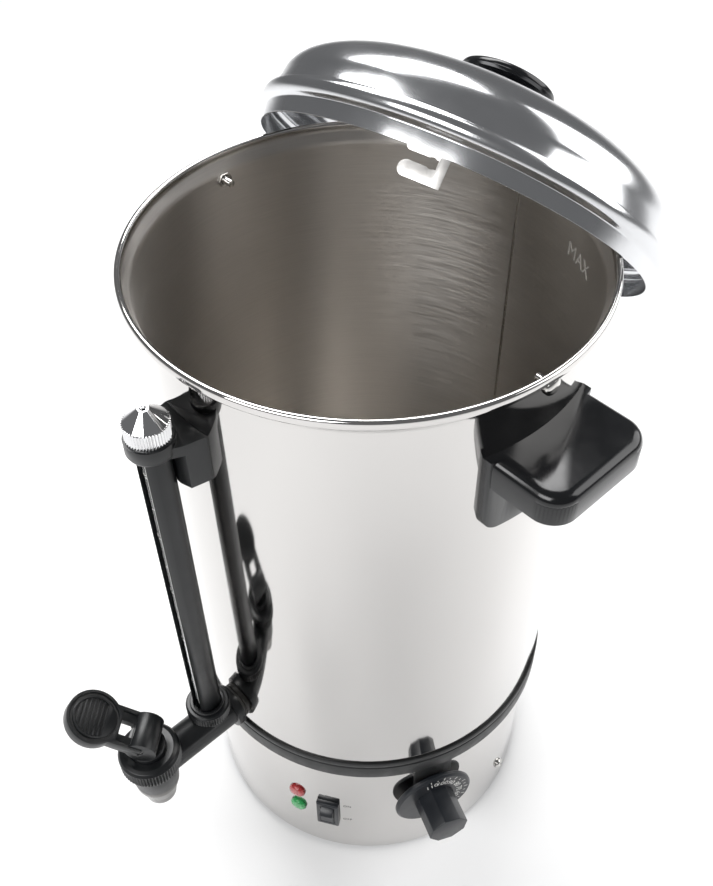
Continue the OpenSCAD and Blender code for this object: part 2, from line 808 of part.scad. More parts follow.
module valve_seat_cup() {
    color("whitesmoke") at_tap() translate([0, 0, seat_z]) difference() {
        rotate_extrude() polygon([
            [0, 0], [6.6, 0], [8.2, 1.2], [8.2, 3], [7, cup_h], [0, cup_h]
        ]);
        translate([0, 0, cup_h - 3]) cylinder(r = 2.5 + fit, h = 4);
    }
}

// A helix of round wire, swept with six sides
module valve_spring() {
    turns = 4;
    steps = 16 * turns;
    wire = 0.4;
    mid = 5.2;
    low = spring_z + wire;
    rise = web_z - wire - low;
    ring_pts = [for (i = [0:steps], k = [0:5]) let (a = 360 * turns * i / steps, b = 60 * k)
        [(mid + wire * cos(b)) * cos(a), (mid + wire * cos(b)) * sin(a),
         low + rise * i / steps + wire * sin(b)]];
    sides = [for (i = [0:steps - 1], k = [0:5]) let (p = 6 * i + k, q = 6 * i + (k + 1) % 6)
        for (t = [[p, q, q + 6], [p, q + 6, p + 6]]) t];
    ends = [for (k = [1:4]) [0, k + 1, k], for (k = [1:4]) [6 * steps, 6 * steps + k, 6 * steps + k + 1]];
    color("silver") at_tap() polyhedron(points = ring_pts, faces = concat(sides, ends));
}

// Turns children to the lever's direction, with the pin at the origin
module at_lever() {
    translate([0, -tap_y, pin_z]) rotate([0, 0, lever_az]) rotate([-lever_slope, 0, 0]) children();
}

module lever_pin() {
    color("silver") at_lever() rotate([0, 90, 0])
        cylinder(r = pin_r, h = 2 * (arm_hw - 1.6), center = true);
}

module tap_lever() {
    heel_hw = arm_hw - 1.1;
    // Room for the spindle, from the lever at rest to the lever pressed level
    half = spindle_r + 0.3;
    spindle_fan = [
        [-half, 0], [-half, -20],
        [half * cos(lever_slope) + 20 * sin(lever_slope), half * sin(lever_slope) - 20 * cos(lever_slope)],
        [half * cos(lever_slope), half * sin(lever_slope)]
    ];
    color([0.1, 0.1, 0.1]) at_lever() difference() {
        union() {
            rotate([0, 90, 0]) cylinder(r = heel_r, h = 2 * heel_hw, center = true);
            // Arm with a raised edge on each side
            translate([-arm_hw, -lever_len + 6, -arm_t / 2])
                cube([2 * arm_hw, lever_len - 6, arm_t]);
            translate([0, -lever_len, -arm_t / 2]) cylinder(r = paddle_r, h = arm_t - 1);
            translate([0, -lever_len, -arm_t / 2]) ring(paddle_r, paddle_r - 1.6, arm_t);
            translate([0, -lever_len, -arm_t / 2]) ring(paddle_r - 3.4, paddle_r - 4.6, arm_t);
            for (i = [-3.5:3.5]) intersection() {
                translate([-paddle_r, -lever_len + i * 2.5 - 0.6, 0])
                    cube([2 * paddle_r, 1.2, arm_t / 2]);
                translate([0, -lever_len, 0]) cylinder(r = paddle_r - 4.6 - gap, h = arm_t);
            }
        }
        // The paddle's dish keeps the arm's end off its rim
        translate([0, -lever_len, arm_t / 2 - 1]) difference() {
            ring(paddle_r - 1.6, paddle_r - 3.4, 2);
        }
        // Sunk panel, see-through window, pocket for the stem's eye and the pin's hole
        translate([-arm_hw + 2.4, -15.5, arm_t / 2 - 1.6]) cube([2 * arm_hw - 4.8, 8.5, 3]);
        translate([-4.2, -14.8, -arm_t]) cube([8.4, 7.6, 2 * arm_t]);
        rotate([0, 90, 0]) cylinder(r = eye_r + 0.3, h = 2 * eye_hw + 0.5, center = true);
        rotate([90, 0, 90]) translate([0, 0, -eye_hw - 0.25])
            linear_extrude(height = 2 * eye_hw + 0.5) polygon(spindle_fan);
        rotate([0, 90, 0]) cylinder(r = pin_r + run, h = 60, center = true);
    }
}

// ---------------------------------------------------------------- gauge

module gauge_nut() {
    color([0.1, 0.1, 0.1]) at_gauge() difference() {
        rotate_extrude() polygon([
            [boss_r + fit, nut_z], [nut_r - 0.6, nut_z], [nut_r, nut_z + 0.6],
            [nut_r, nut_top - 2.6], [nut_r - 0.8, nut_top - 1.6], [10.1, nut_top - 1.6],
            [10.1, nut_top], [guard_r + fit, nut_top], [guard_r + fit, boss_top + 0.1],
            [boss_r + fit, boss_top + 0.1]
        ]);
        translate([0, 0, nut_z - over]) flutes(nut_r, 40, 0.5, nut_top - nut_z - 1.4);
    }
}

module gauge_tube() {
    color([0.85, 0.9, 0.92, 0.5]) at_gauge() translate([0, 0, glass_z])
        ring(glass_r, glass_r - glass_t, guard_top + 3 - glass_z);
}

module gauge_guard() {
    low = boss_top + 0.1;
    color([0.12, 0.12, 0.12]) at_gauge() difference() {
        translate([0, 0, low]) ring(guard_r, glass_r + 0.1, guard_top - low);
        // A flat down each side
        for (s = [-1, 1]) translate([s * (guard_flat + 5), 0, low])
            cube([10, 2 * guard_r, 3 * guard_top], center = true);
        translate([-slot_hw, -20, nut_top - 2]) cube([2 * slot_hw, 20, cup_z - cup_h0 - nut_top + 2]);
    }
}

module gauge_seals() {
    color([0.15, 0.15, 0.15]) at_gauge() {
        translate([0, 0, boss_top - 5]) ring(glass_r + 1.15, glass_r + 0.02, 4);
        translate([0, 0, guard_top]) ring(guard_r - 0.1, glass_r + 0.02, 1);
    }
}

module gauge_bracket() {
    color([0.12, 0.12, 0.12]) difference() {
        union() {
            // Block against the tank, narrowing to the cup
            translate([0, 0, block_z]) linear_extrude(height = block_top - block_z) polygon([
                [-block_hw, -tank_r + 6], [block_hw, -tank_r + 6], [block_hw, -tank_r],
                [block_hw - 2.1, -block_y], [7, -block_end], [-7, -block_end],
                [-block_hw + 2.1, -block_y], [-block_hw, -tank_r]
            ]);
            translate([0, 0, cup_z - cup_h0]) linear_extrude(height = cup_h0 - 3) polygon([
                [-block_hw + 2.1, -block_y], [block_hw - 2.1, -block_y], [9, -gauge_y], [-9, -gauge_y]
            ]);
            at_gauge() rotate_extrude() polygon([
                [0, cup_z - cup_h0], [cup_r - 2.2, cup_z - cup_h0], [cup_r - 0.7, cup_z - cup_h0 + 0.7],
                [cup_r, cup_z - cup_h0 + 2.2], [cup_r, cup_z], [0, cup_z]
            ]);
        }
        cylinder(r = tank_r + fit, h = rim_z, $fn = 180);
        at_gauge() translate([0, 0, block_z - over]) cylinder(r = guard_r + fit, h = 60);
    }
}

module gauge_cap() {
    knurl_z = cup_z + 0.4;
    knurl_top = knurl_z + 8.7;
    tip = knurl_top + 6.9;
    color("silver") at_gauge() difference() {
        rotate_extrude() polygon([
            [0, guard_top + 4], [glass_r + 0.2, guard_top + 4], [glass_r + 0.2, guard_top + 1],
            [guard_r, guard_top + 1], [guard_r, cup_z], [cap_r - 0.4, cup_z],
            [cap_r - 0.4, knurl_z], [cap_r, knurl_z + 0.3], [cap_r, knurl_top - 0.5],
            [cap_r - 0.6, knurl_top], [2.9, tip - 0.4], [2.2, tip], [1.6, tip], [1.2, tip - 1], [0, tip - 1]
        ]);
        translate([0, 0, knurl_z - 0.2]) flutes(cap_r, 40, 0.4, 8.3);
        translate([0, 0, guard_top]) cylinder(r = 0.8, h = 30);
    }
}

// ---------------------------------------------------------------- lid

// Places children on the leaning lid: local Z is the lid's own axis, Z = 0 its edge
module at_lid() {
    translate(lid_c) rotate([lid_tilt, 0, lid_az]) children();
}

// The dome's curve, drawn in by an amount
function dome(inset) = [for (i = [0:24]) let (
    a = 90 * i / 24, r = dome_r - inset, h = crown_h - dome_z - inset)
    [r * pow(cos(a), 2 / dome_pow), dome_z + h * pow(sin(a), 2 / dome_pow)]];

module lid_shell() {
    hole_r = stud_r + 0.1;
    outer = concat(
        [[flange_r - sheet_t, 0], [flange_r, 0], [flange_r, flange_h]],
        arc(bead_c, bead_z, lid_tube, -60, 42, 14), [[dome_r + 1.6, bead_z + 0.8 * lid_tube]],
        [for (p = dome(0)) if (p[0] > hole_r) p]
    );
    inner = concat(
        [for (i = [0:24]) let (p = dome(sheet_t)[24 - i]) if (p[0] > hole_r) p],
        [[dome_r + 1, bead_z + 0.72 * lid_tube]],
        [for (i = [0:14]) arc(bead_c, bead_z, lid_tube - sheet_t, -60, 42, 14)[14 - i]],
        [[flange_r - sheet_t, flange_h + 0.2]]
    );
    color("silver") at_lid() difference() {
        rotate_extrude($fn = 180) polygon(concat(outer, [[hole_r, crown_h], [hole_r, crown_h - sheet_t]], inner));
    }
}

// Two hooked plates inside the flange, each with a slot for a lock pin
module lid_brackets() {
    plate_r = flange_r - sheet_t - 0.02;
    tip_r = (slot_h[0] - bracket_low) / 2;
    slot_mid = slot_h[1] - slot_eye + 0.6;
    color("silver") at_lid() for (turn = [0, 180]) rotate([0, 0, turn]) difference() {
        rotate([0, 0, bracket_span[0]]) translate([0, 0, bracket_low])
            rotate_extrude(angle = bracket_span[1] - bracket_span[0], $fn = 180)
                translate([plate_r - 0.8, 0]) square([0.8, flange_h - bracket_low]);
        rotate([0, 0, bracket_span[0] - 2]) translate([0, 0, slot_h[0]])
            rotate_extrude(angle = slot_end - bracket_span[0] + 2, $fn = 180)
                translate([plate_r - 3, 0]) square([6, slot_h[1] - slot_h[0]]);
        // The slot's round end, and the hook's rounded tip and corners
        rotate([0, 0, slot_end - asin(slot_eye / plate_r)])
            translate([plate_r - 3, 0, slot_mid]) rotate([0, 90, 0]) cylinder(r = slot_eye, h = 6);
        rotate([0, 0, bracket_span[0]]) for (up = [-1, 1])
            round_off(plate_r, (slot_h[0] + bracket_low) / 2, tip_r, up);
        rotate([0, 0, bracket_span[0]]) round_off(plate_r, slot_h[1] + 2.6, 2.6, -1);
    }
}

// Takes the corner off a plate's first edge: up or down from a centre at height h
module round_off(r, h, corner, up) {
    rotate([0, 0, asin(corner / r)]) translate([r - 3, 0, h]) difference() {
        translate([0, -corner - over, up > 0 ? 0 : -corner - over])
            cube([6, corner + over, corner + over]);
        rotate([0, 90, 0]) translate([0, 0, -over]) cylinder(r = corner, h = 8);
    }
}

module lid_knob() {
    low = crown_h + 0.02;
    edge = knob_edge;
    color([0.08, 0.08, 0.08]) at_lid() difference() {
        rotate_extrude() polygon(concat(
            [[0, low], [9.5, low], [9, low + 2.5], [10.5, edge - 3], [knob_r - 6, edge - 1.2],
             [knob_r - 1.2, edge], [knob_r, edge + 1.4], [knob_r, edge + 2.8]],
            [for (i = [1:8]) let (a = 90 * i / 8) [(knob_r - 0.4) * cos(a), edge + 3.4 + 3.6 * sin(a)]]
        ));
        translate([0, 0, low - over]) cylinder(r = stud_r + fit, h = knob_top - low - 4);
    }
}

module lid_knob_washer() {
    color("silver") at_lid() translate([0, 0, crown_h - sheet_t - 1.2])
        ring(washer_r, stud_r + 0.1, 1.1);
}

module lid_knob_screw() {
    under = crown_h - sheet_t - 1.22;
    color("silver") at_lid() difference() {
        union() {
            translate([0, 0, under]) cylinder(r = stud_r, h = knob_edge - under);
            translate([0, 0, under - 3]) rotate_extrude() polygon([
                [0, 0], [3, 0], [4.6, 1.4], [4.8, 3], [0, 3]
            ]);
        }
        for (turn = [0, 90]) rotate([0, 0, turn])
            translate([-2.6, -0.5, under - 4]) cube([5.2, 1, 2.2]);
    }
}

tank();
base_skirt();
base_pan();
feet();
skirt_screws();
trim_ring();
heater_plate();
heating_element();
thermal_cutout();
terminal_block();
cord_bush();
thermostat_body();
thermostat_nut();
thermostat_shaft();
dial();
switch_housing();
switch_rocker();
lamp_red();
lamp_green();
lamp_holders();
handle_right();
handle_left();
handle_studs();
handle_nuts();
lid_lock_pins();
lid_lock_nuts();
tap_body();
tap_seal_outer();
tap_seal_inner();
tap_lock_nut();
tap_spout();
tap_bonnet();
tap_saddle();
valve_stem();
valve_seat_cup();
valve_spring();
lever_pin();
tap_lever();
gauge_nut();
gauge_tube();
gauge_guard();
gauge_seals();
gauge_bracket();
gauge_cap();
lid_shell();
lid_brackets();
lid_knob();
lid_knob_washer();
lid_knob_screw();
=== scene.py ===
"""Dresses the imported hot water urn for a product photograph.

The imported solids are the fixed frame. Turned sheet metal, knurled parts, prints and glass are
modelled here at the frame's sizes; the moulded parts are copies of the solids with broken edges.
Sizes are in millimetres until a mesh is written, and the studio's lights are placed in metres.
Bearings run from the tap (-Y) towards +X.
"""

import json
import logging
import math
from dataclasses import dataclass, field
from enum import Enum

import bmesh
import bpy
from mathutils import Matrix, Vector

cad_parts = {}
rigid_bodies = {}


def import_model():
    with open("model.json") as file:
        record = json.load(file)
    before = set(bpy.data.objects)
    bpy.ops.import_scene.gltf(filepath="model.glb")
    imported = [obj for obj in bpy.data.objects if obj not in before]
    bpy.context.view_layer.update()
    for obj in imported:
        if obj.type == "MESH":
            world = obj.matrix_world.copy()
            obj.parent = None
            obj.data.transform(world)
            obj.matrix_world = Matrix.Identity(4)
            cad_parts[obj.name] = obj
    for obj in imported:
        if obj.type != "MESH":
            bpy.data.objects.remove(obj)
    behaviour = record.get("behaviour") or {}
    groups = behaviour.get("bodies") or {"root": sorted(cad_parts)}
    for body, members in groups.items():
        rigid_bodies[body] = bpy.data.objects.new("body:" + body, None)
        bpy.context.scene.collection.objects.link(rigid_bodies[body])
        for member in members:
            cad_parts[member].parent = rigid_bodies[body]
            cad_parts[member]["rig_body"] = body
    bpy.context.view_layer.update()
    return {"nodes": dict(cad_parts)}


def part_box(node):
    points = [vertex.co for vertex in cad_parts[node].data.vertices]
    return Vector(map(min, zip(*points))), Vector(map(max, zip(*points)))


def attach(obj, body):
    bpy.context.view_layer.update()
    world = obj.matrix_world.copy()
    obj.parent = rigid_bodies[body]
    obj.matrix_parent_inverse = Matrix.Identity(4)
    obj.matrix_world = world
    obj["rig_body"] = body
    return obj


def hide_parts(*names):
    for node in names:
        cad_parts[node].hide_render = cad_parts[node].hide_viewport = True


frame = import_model()
LOG = logging.getLogger("urn")
MM = 0.001

Outline = list[tuple[float, float]]
Point = tuple[float, float, float]

# Sizes that several groups share, in millimetres.
SHEET = 0.7
SKIRT_R = 106.6
FLOOR_Z = 121.0
# The gap between a turned piece and the solid that it sits on or goes over.
FIT = 0.05
# How far a print is lifted off its surface, and how thick its ink is.
PRINT_LIFT = 0.02
INK = 0.03

# Steps round: of what is as wide as the tank, and of each tooth of a knurl.
ROUND = 256
TOOTH_STEPS = 6


class Way(Enum):
    """Which side of a sheet a print or a mark sits on."""

    OUTSIDE = 1
    INSIDE = -1


class Shading(Enum):
    """How a finished mesh is shaded: the angle past which an edge stays sharp."""

    TURNED = 30.0
    MOULDED = 38.0
    FLAT = 1.0


# ---------------------------------------------------------------- colours and node helpers


def linear(hex_colour: str) -> tuple[float, float, float, float]:
    """Turns an sRGB hex colour into Blender's linear colour.

    Args:
        hex_colour: six hex digits, with or without the leading mark.

    Returns:
        Linear red, green, blue and an alpha of one.
    """
    digits = hex_colour.lstrip("#")
    parts = [int(digits[i:i + 2], 16) / 255 for i in (0, 2, 4)]
    red, green, blue = (p / 12.92 if p <= 0.04045 else ((p + 0.055) / 1.055) ** 2.4 for p in parts)
    return red, green, blue, 1.0


def shade(hex_colour: str, gain: float, lift: float = 0.0) -> tuple[float, float, float, float]:
    """Makes a linear colour lighter or darker.

    Args:
        hex_colour: the sRGB colour to start from.
        gain: what each channel is multiplied by.
        lift: what is then added to it.

    Returns:
        The linear colour, with no channel above one.
    """
    return tuple(min(1.0, c * gain + lift) for c in linear(hex_colour)[:3]) + (1.0,)


def add_node(tree: bpy.types.NodeTree, kind: str, links: dict | None = None,
             feeds: dict | None = None, **settings: object) -> bpy.types.Node:
    """Adds one node with its settings and its links.

    Args:
        tree: the node tree that takes the node.
        kind: the node's type name, such as "ShaderNodeMapping".
        links: input name to the output socket that feeds it.
        feeds: output name to the input socket that it feeds.
        settings: properties of the node, or values of its inputs when the name starts with "in_".

    Returns:
        The new node.
    """
    node = tree.nodes.new(kind)
    for name, value in settings.items():
        if name.startswith("in_"):
            node.inputs[name[3:].replace("_", " ")].default_value = value
        else:
            setattr(node, name, value)
    for name, socket in (links or {}).items():
        tree.links.new(socket, node.inputs[name])
    for name, socket in (feeds or {}).items():
        tree.links.new(node.outputs[name], socket)
    return node


# ---------------------------------------------------------------- finishes

# A noise texture's values mostly lie between these two.
NOISE_LOW, NOISE_HIGH = 0.3, 0.7


@dataclass(frozen=True)
class Finish:
    """One real finish: a material with typical values and the marks of how it was made."""

    name: str
    colour: str
    roughness: float
    metallic: float = 0.0

    def material(self) -> bpy.types.Material:
        """Returns the material, made once."""
        made = bpy.data.materials.get(self.name)
        if made:
            return made
        made = bpy.data.materials.new(self.name)
        made.use_nodes = True
        made.diffuse_color = linear(self.colour)
        tree = made.node_tree
        shader = tree.nodes["Principled BSDF"]
        shader.inputs["Base Color"].default_value = linear(self.colour)
        shader.inputs["Metallic"].default_value = self.metallic
        shader.inputs["Roughness"].default_value = self.roughness
        self.dress(tree, shader)
        return made

    def dress(self, tree: bpy.types.NodeTree, shader: bpy.types.Node) -> None:
        """Adds the marks of the finish; a plain finish has none.

        Args:
            tree: the material's node tree.
            shader: the surface shader.
        """

    def vary_roughness(self, tree: bpy.types.NodeTree, shader: bpy.types.Node, size_mm: float,
                       spread: float, stretch: Point = (1, 1, 1)) -> None:
        """Lets the roughness wander over the surface, as handling and cleaning leave it.

        Args:
            tree: the material's node tree.
            shader: the surface shader.
            size_mm: the size of the patches.
            spread: how far the roughness goes either way.
            stretch: how the patches are squeezed along each axis.
        """
        coords = add_node(tree, "ShaderNodeTexCoord")
        scale = tuple(s / (size_mm * MM) for s in stretch)
        at = add_node(tree, "ShaderNodeMapping", {"Vector": coords.outputs["Object"]}, in_Scale=scale)
        noise = add_node(tree, "ShaderNodeTexNoise", {"Vector": at.outputs["Vector"]},
                         in_Scale=1.0, in_Detail=3.0, in_Roughness=0.55)
        add_node(tree, "ShaderNodeMapRange", {"Value": noise.outputs["Fac"]},
                 {"Result": shader.inputs["Roughness"]},
                 in_From_Min=NOISE_LOW, in_From_Max=NOISE_HIGH,
                 in_To_Min=self.roughness - spread, in_To_Max=self.roughness + spread)

    def grain(self, tree: bpy.types.NodeTree, shader: bpy.types.Node, size_mm: float, height_mm: float,
              strength: float = 0.5) -> None:
        """Gives the surface a fine even grain.

        Args:
            tree: the material's node tree.
            shader: the surface shader.
            size_mm: the grain's spacing.
            height_mm: the grain's depth.
            strength: the weight of the bump.
        """
        coords = add_node(tree, "ShaderNodeTexCoord")
        noise = add_node(tree, "ShaderNodeTexNoise", {"Vector": coords.outputs["Object"]},
                         in_Scale=1 / (size_mm * MM), in_Detail=2.0, in_Roughness=0.5)
        add_node(tree, "ShaderNodeBump", {"Height": noise.outputs["Fac"]},
                 {"Normal": shader.inputs["Normal"]}, in_Strength=strength, in_Distance=height_mm * MM)


@dataclass(frozen=True)
class PolishedMetal(Finish):
    """Metal polished near a mirror: it shows the room, bent a little by waves and dulled by smears."""

    metallic: float = 1.0
    wave_mm: float = 60.0
    wave_height_mm: float = 0.05
    smear_mm: float = 35.0
    smear_share: float = 0.35
    smear_stretch: Point = (1, 1, 0.4)

    def dress(self, tree: bpy.types.NodeTree, shader: bpy.types.Node) -> None:
        """Adds wiped-on smears, longer down the wall, and the waviness that bends reflections.

        Args:
            tree: the material's node tree.
            shader: the surface shader.
        """
        self.vary_roughness(tree, shader, self.smear_mm, self.roughness * self.smear_share,
                            self.smear_stretch)
        coords = add_node(tree, "ShaderNodeTexCoord")
        wave = add_node(tree, "ShaderNodeTexNoise", {"Vector": coords.outputs["Object"]},
                        in_Scale=1 / (self.wave_mm * MM), in_Detail=1.0, in_Roughness=0.4)
        add_node(tree, "ShaderNodeBump", {"Height": wave.outputs["Fac"]},
                 {"Normal": shader.inputs["Normal"]},
                 in_Strength=1.0, in_Distance=self.wave_height_mm * MM)


@dataclass(frozen=True)
class BrushedMetal(Finish):
    """Metal brushed round the urn's axis: light spreads across the brush lines, up and down a wall."""

    metallic: float = 1.0
    line_mm: float = 0.9
    spread: float = 0.07
    line_height_mm: float = 0.012
    anisotropy: float = 0.7
    line_long_mm: float = 30.0
    line_strength: float = 0.6
    line_dark: float = 0.86
    line_light: float = 1.12
    # The lines run round the axis, so the highlight lies a quarter turn from the tangent.
    highlight_turn: float = 0.25

    def dress(self, tree: bpy.types.NodeTree, shader: bpy.types.Node) -> None:
        """Adds brush lines. Real ones are 0.1 mm apart, so they are drawn coarser to show.

        Args:
            tree: the material's node tree.
            shader: the surface shader.
        """
        coords = add_node(tree, "ShaderNodeTexCoord")
        along, across = 1 / (self.line_long_mm * MM), 1 / (self.line_mm * MM)
        at = add_node(tree, "ShaderNodeMapping", {"Vector": coords.outputs["Object"]},
                      in_Scale=(along, along, across))
        brush = add_node(tree, "ShaderNodeTexNoise", {"Vector": at.outputs["Vector"]},
                         in_Scale=1.0, in_Detail=5.0, in_Roughness=0.7)
        add_node(tree, "ShaderNodeMapRange", {"Value": brush.outputs["Fac"]},
                 {"Result": shader.inputs["Roughness"]},
                 in_From_Min=NOISE_LOW, in_From_Max=NOISE_HIGH,
                 in_To_Min=self.roughness - self.spread, in_To_Max=self.roughness + self.spread)
        add_node(tree, "ShaderNodeBump", {"Height": brush.outputs["Fac"]},
                 {"Normal": shader.inputs["Normal"]},
                 in_Strength=self.line_strength, in_Distance=self.line_height_mm * MM)
        tint = add_node(tree, "ShaderNodeMix", {"Factor": brush.outputs["Fac"]}, data_type="RGBA")
        tint.inputs["A"].default_value = shade(self.colour, self.line_dark)
        tint.inputs["B"].default_value = shade(self.colour, self.line_light)
        tree.links.new(tint.outputs["Result"], shader.inputs["Base Color"])
        shader.inputs["Anisotropic"].default_value = self.anisotropy
        shader.inputs["Anisotropic Rotation"].default_value = self.highlight_turn
        add_node(tree, "ShaderNodeTangent", None, {"Tangent": shader.inputs["Tangent"]},
                 direction_type="RADIAL", axis="Z")


@dataclass(frozen=True)
class MouldedPlastic(Finish):
    """Injection-moulded black plastic: a low, even sheen broken by fine spark-eroded grain."""

    grain_mm: float = 0.5
    grain_height_mm: float = 0.02
    wear: float = 0.06
    wear_mm: float = 14.0
    refraction: float = 1.5

    def dress(self, tree: bpy.types.NodeTree, shader: bpy.types.Node) -> None:
        """Adds the grain and the patches where handling has polished it.

        Args:
            tree: the material's node tree.
            shader: the surface shader.
        """
        self.vary_roughness(tree, shader, self.wear_mm, self.wear)
        self.grain(tree, shader, self.grain_mm, self.grain_height_mm)
        shader.inputs["IOR"].default_value = self.refraction


@dataclass(frozen=True)
class Matt(Finish):
    """Rubber, silicone or fired ceramic: dull, with a slow mottle and a soft, dry grain."""

    mottle_mm: float = 8.0
    mottle: float = 0.08
    grain_mm: float = 0.8
    grain_height_mm: float = 0.03
    grain_strength: float = 0.6

    def dress(self, tree: bpy.types.NodeTree, shader: bpy.types.Node) -> None:
        """Adds the mottle and the grain.

        Args:
            tree: the material's node tree.
            shader: the surface shader.
        """
        self.vary_roughness(tree, shader, self.mottle_mm, self.mottle)
        self.grain(tree, shader, self.grain_mm, self.grain_height_mm, self.grain_strength)


@dataclass(frozen=True)
class ClearGlass(Finish):
    """Drawn borosilicate tube: clear, with the highlight of its round wall."""

    refraction: float = 1.47

    def dress(self, tree: bpy.types.NodeTree, shader: bpy.types.Node) -> None:
        """Lets light through with the index of borosilicate glass.

        Args:
            tree: the material's node tree.
            shader: the surface shader.
        """
        shader.inputs["Transmission Weight"].default_value = 1.0
        shader.inputs["IOR"].default_value = self.refraction


@dataclass(frozen=True)
class LampLens(Finish):
    """Moulded polycarbonate lens: tinted through, with a prism pattern behind a glossy face."""

    prism_mm: float = 1.6
    prism_height_mm: float = 0.25
    prism_strength: float = 0.7
    prism_light: float = 1.25
    prism_lift: float = 0.03
    prism_dark: float = 0.55
    depth_mm: float = 2.0
    cloudiness: float = 0.25
    coat: float = 0.6
    coat_roughness: float = 0.08
    refraction: float = 1.58

    def dress(self, tree: bpy.types.NodeTree, shader: bpy.types.Node) -> None:
        """Adds the prisms behind the face and a clear top coat.

        Args:
            tree: the material's node tree.
            shader: the surface shader.
        """
        shader.inputs["IOR"].default_value = self.refraction
        shader.inputs["Coat Weight"].default_value = self.coat
        shader.inputs["Coat Roughness"].default_value = self.coat_roughness
        shader.inputs["Subsurface Weight"].default_value = self.cloudiness
        shader.inputs["Subsurface Radius"].default_value = (self.depth_mm * MM,) * 3
        coords = add_node(tree, "ShaderNodeTexCoord")
        cells = add_node(tree, "ShaderNodeTexVoronoi", {"Vector": coords.outputs["Object"]},
                         in_Scale=1 / (self.prism_mm * MM), in_Randomness=0.15)
        add_node(tree, "ShaderNodeBump", {"Height": cells.outputs["Distance"]},
                 {"Normal": shader.inputs["Normal"]},
                 in_Strength=self.prism_strength, in_Distance=self.prism_height_mm * MM)
        tint = add_node(tree, "ShaderNodeMix", {"Factor": cells.outputs["Distance"]}, data_type="RGBA")
        tint.inputs["A"].default_value = shade(self.colour, self.prism_light, self.prism_lift)
        tint.inputs["B"].default_value = shade(self.colour, self.prism_dark)
        tree.links.new(tint.outputs["Result"], shader.inputs["Base Color"])


@dataclass(frozen=True)
class Ink(Finish):
    """Pad-printed ink or an etched mark: matt and opaque, a little thin in places."""

    patch_mm: float = 3.0
    patch: float = 0.1

    def dress(self, tree: bpy.types.NodeTree, shader: bpy.types.Node) -> None:
        """Adds the faint unevenness of a printed film.

        Args:
            tree: the material's node tree.
            shader: the surface shader.
        """
        self.vary_roughness(tree, shader, self.patch_mm, self.patch)


# Wall and skirt: a mirror with slow waves, so the room's edges run a little crooked in it.
MIRROR = PolishedMetal("stainless_sheet_mirror_polished", "#CFCDCB", 0.06,
                       wave_mm=70.0, wave_height_mm=0.03)
# Lid: polished while it spun, so the softboxes melt into broad, soft-edged highlights.
LID_MIRROR = PolishedMetal("stainless_lid_spun_polished", "#D3D4D6", 0.17, wave_mm=45.0)
# Inside of the tank: warm grey, with light drawn out in upright bands across fine level lines.
INSIDE = BrushedMetal("stainless_sheet_brushed", "#D9D5D0", 0.36,
                      line_mm=0.8, spread=0.08, line_height_mm=0.007, anisotropy=0.8)
# Weld seam: ground flat, a shade greyer than the sheet on either side.
SEAM_STEEL = BrushedMetal("stainless_flange_brushed", "#C4C1BC", 0.24,
                          line_mm=1.4, spread=0.05, line_height_mm=0.006, anisotropy=0.5)
# Lid hooks: satin strip that reads as pale grey from any side.
HOOK_STEEL = BrushedMetal("stainless_strip_satin", "#E4E2DF", 0.42,
                          line_mm=1.2, spread=0.05, line_height_mm=0.005, anisotropy=0.0)
# Screws, pins and nuts: bright plating with small sharp glints.
PLATED = PolishedMetal("plated_steel_fastener", "#CFCDCA", 0.16, wave_mm=8.0, wave_height_mm=0.02)
# Gauge cap: chrome, black and white by turns as the room reflects in it.
CHROME = PolishedMetal("chromed_brass", "#DEDEDF", 0.05, wave_mm=20.0, wave_height_mm=0.01)
# Spout: satin chrome, darker and softer than the cap.
SPOUT = PolishedMetal("satin_chromed_spout", "#747270", 0.30, wave_mm=18.0, wave_height_mm=0.02)
# Base pan and thermostat: zinc, a dull blue-grey.
GALVANISED = BrushedMetal("zinc_plated_sheet", "#A7A9AB", 0.42,
                          line_mm=2.0, spread=0.1, line_height_mm=0.01, anisotropy=0.0)
# Handles and lid knob: deep black gloss with crisp highlights.
HANDLE_BLACK = MouldedPlastic("phenolic_black_gloss", "#101113", 0.17,
                              grain_mm=1.2, grain_height_mm=0.004, wear=0.04)
# Tap and gauge mouldings: black, with a soft grey sheen on what faces the light.
TAP_BLACK = MouldedPlastic("nylon_black_satin", "#0F1113", 0.34)
# Dial, switch and bush: black, made a shade bluer and lighter than the tap as a painted sheen for the
# bluish light that the dial's faces reflect.
DIAL_BLACK_PAINTED_SHEEN = MouldedPlastic("abs_black_satin", "#1A1D22", 0.34)
# Trim ring: black, dull, with one long soft highlight.
TRIM_BLACK = Matt("trim_extrusion_black", "#131415", 0.42)
# Feet and gauge seals: dry, flat black.
FOOT_RUBBER = Matt("rubber_foot_black", "#161616", 0.75)
# Tap seals: smoky, slightly glossy silicone.
SILICONE = Matt("silicone_smoked", "#4A4946", 0.45)
# Gauge tube: clear, seen by its bright edges.
GLASS = ClearGlass("borosilicate_tube", "#F4FAFA", 0.02)
# Lamps: unlit, saturated, with a facet pattern under the shine.
RED_LENS = LampLens("polycarbonate_red", "#A81A1C", 0.22)
GREEN_LENS = LampLens("polycarbonate_green", "#0C9A4A", 0.22)
# Prints: matt films, off-white or off-black.
WHITE_INK = Ink("ink_white", "#E6E6E2", 0.55)
BLACK_INK = Ink("ink_black", "#2A2A2C", 0.55)
SCALE_WHITE = Ink("scale_print_white", "#E2E2DE", 0.5)
# Filling mark: etched steel, dull grey against the brushed wall.
ETCHED = Ink("etched_steel_mark", "#A19E99", 0.6)
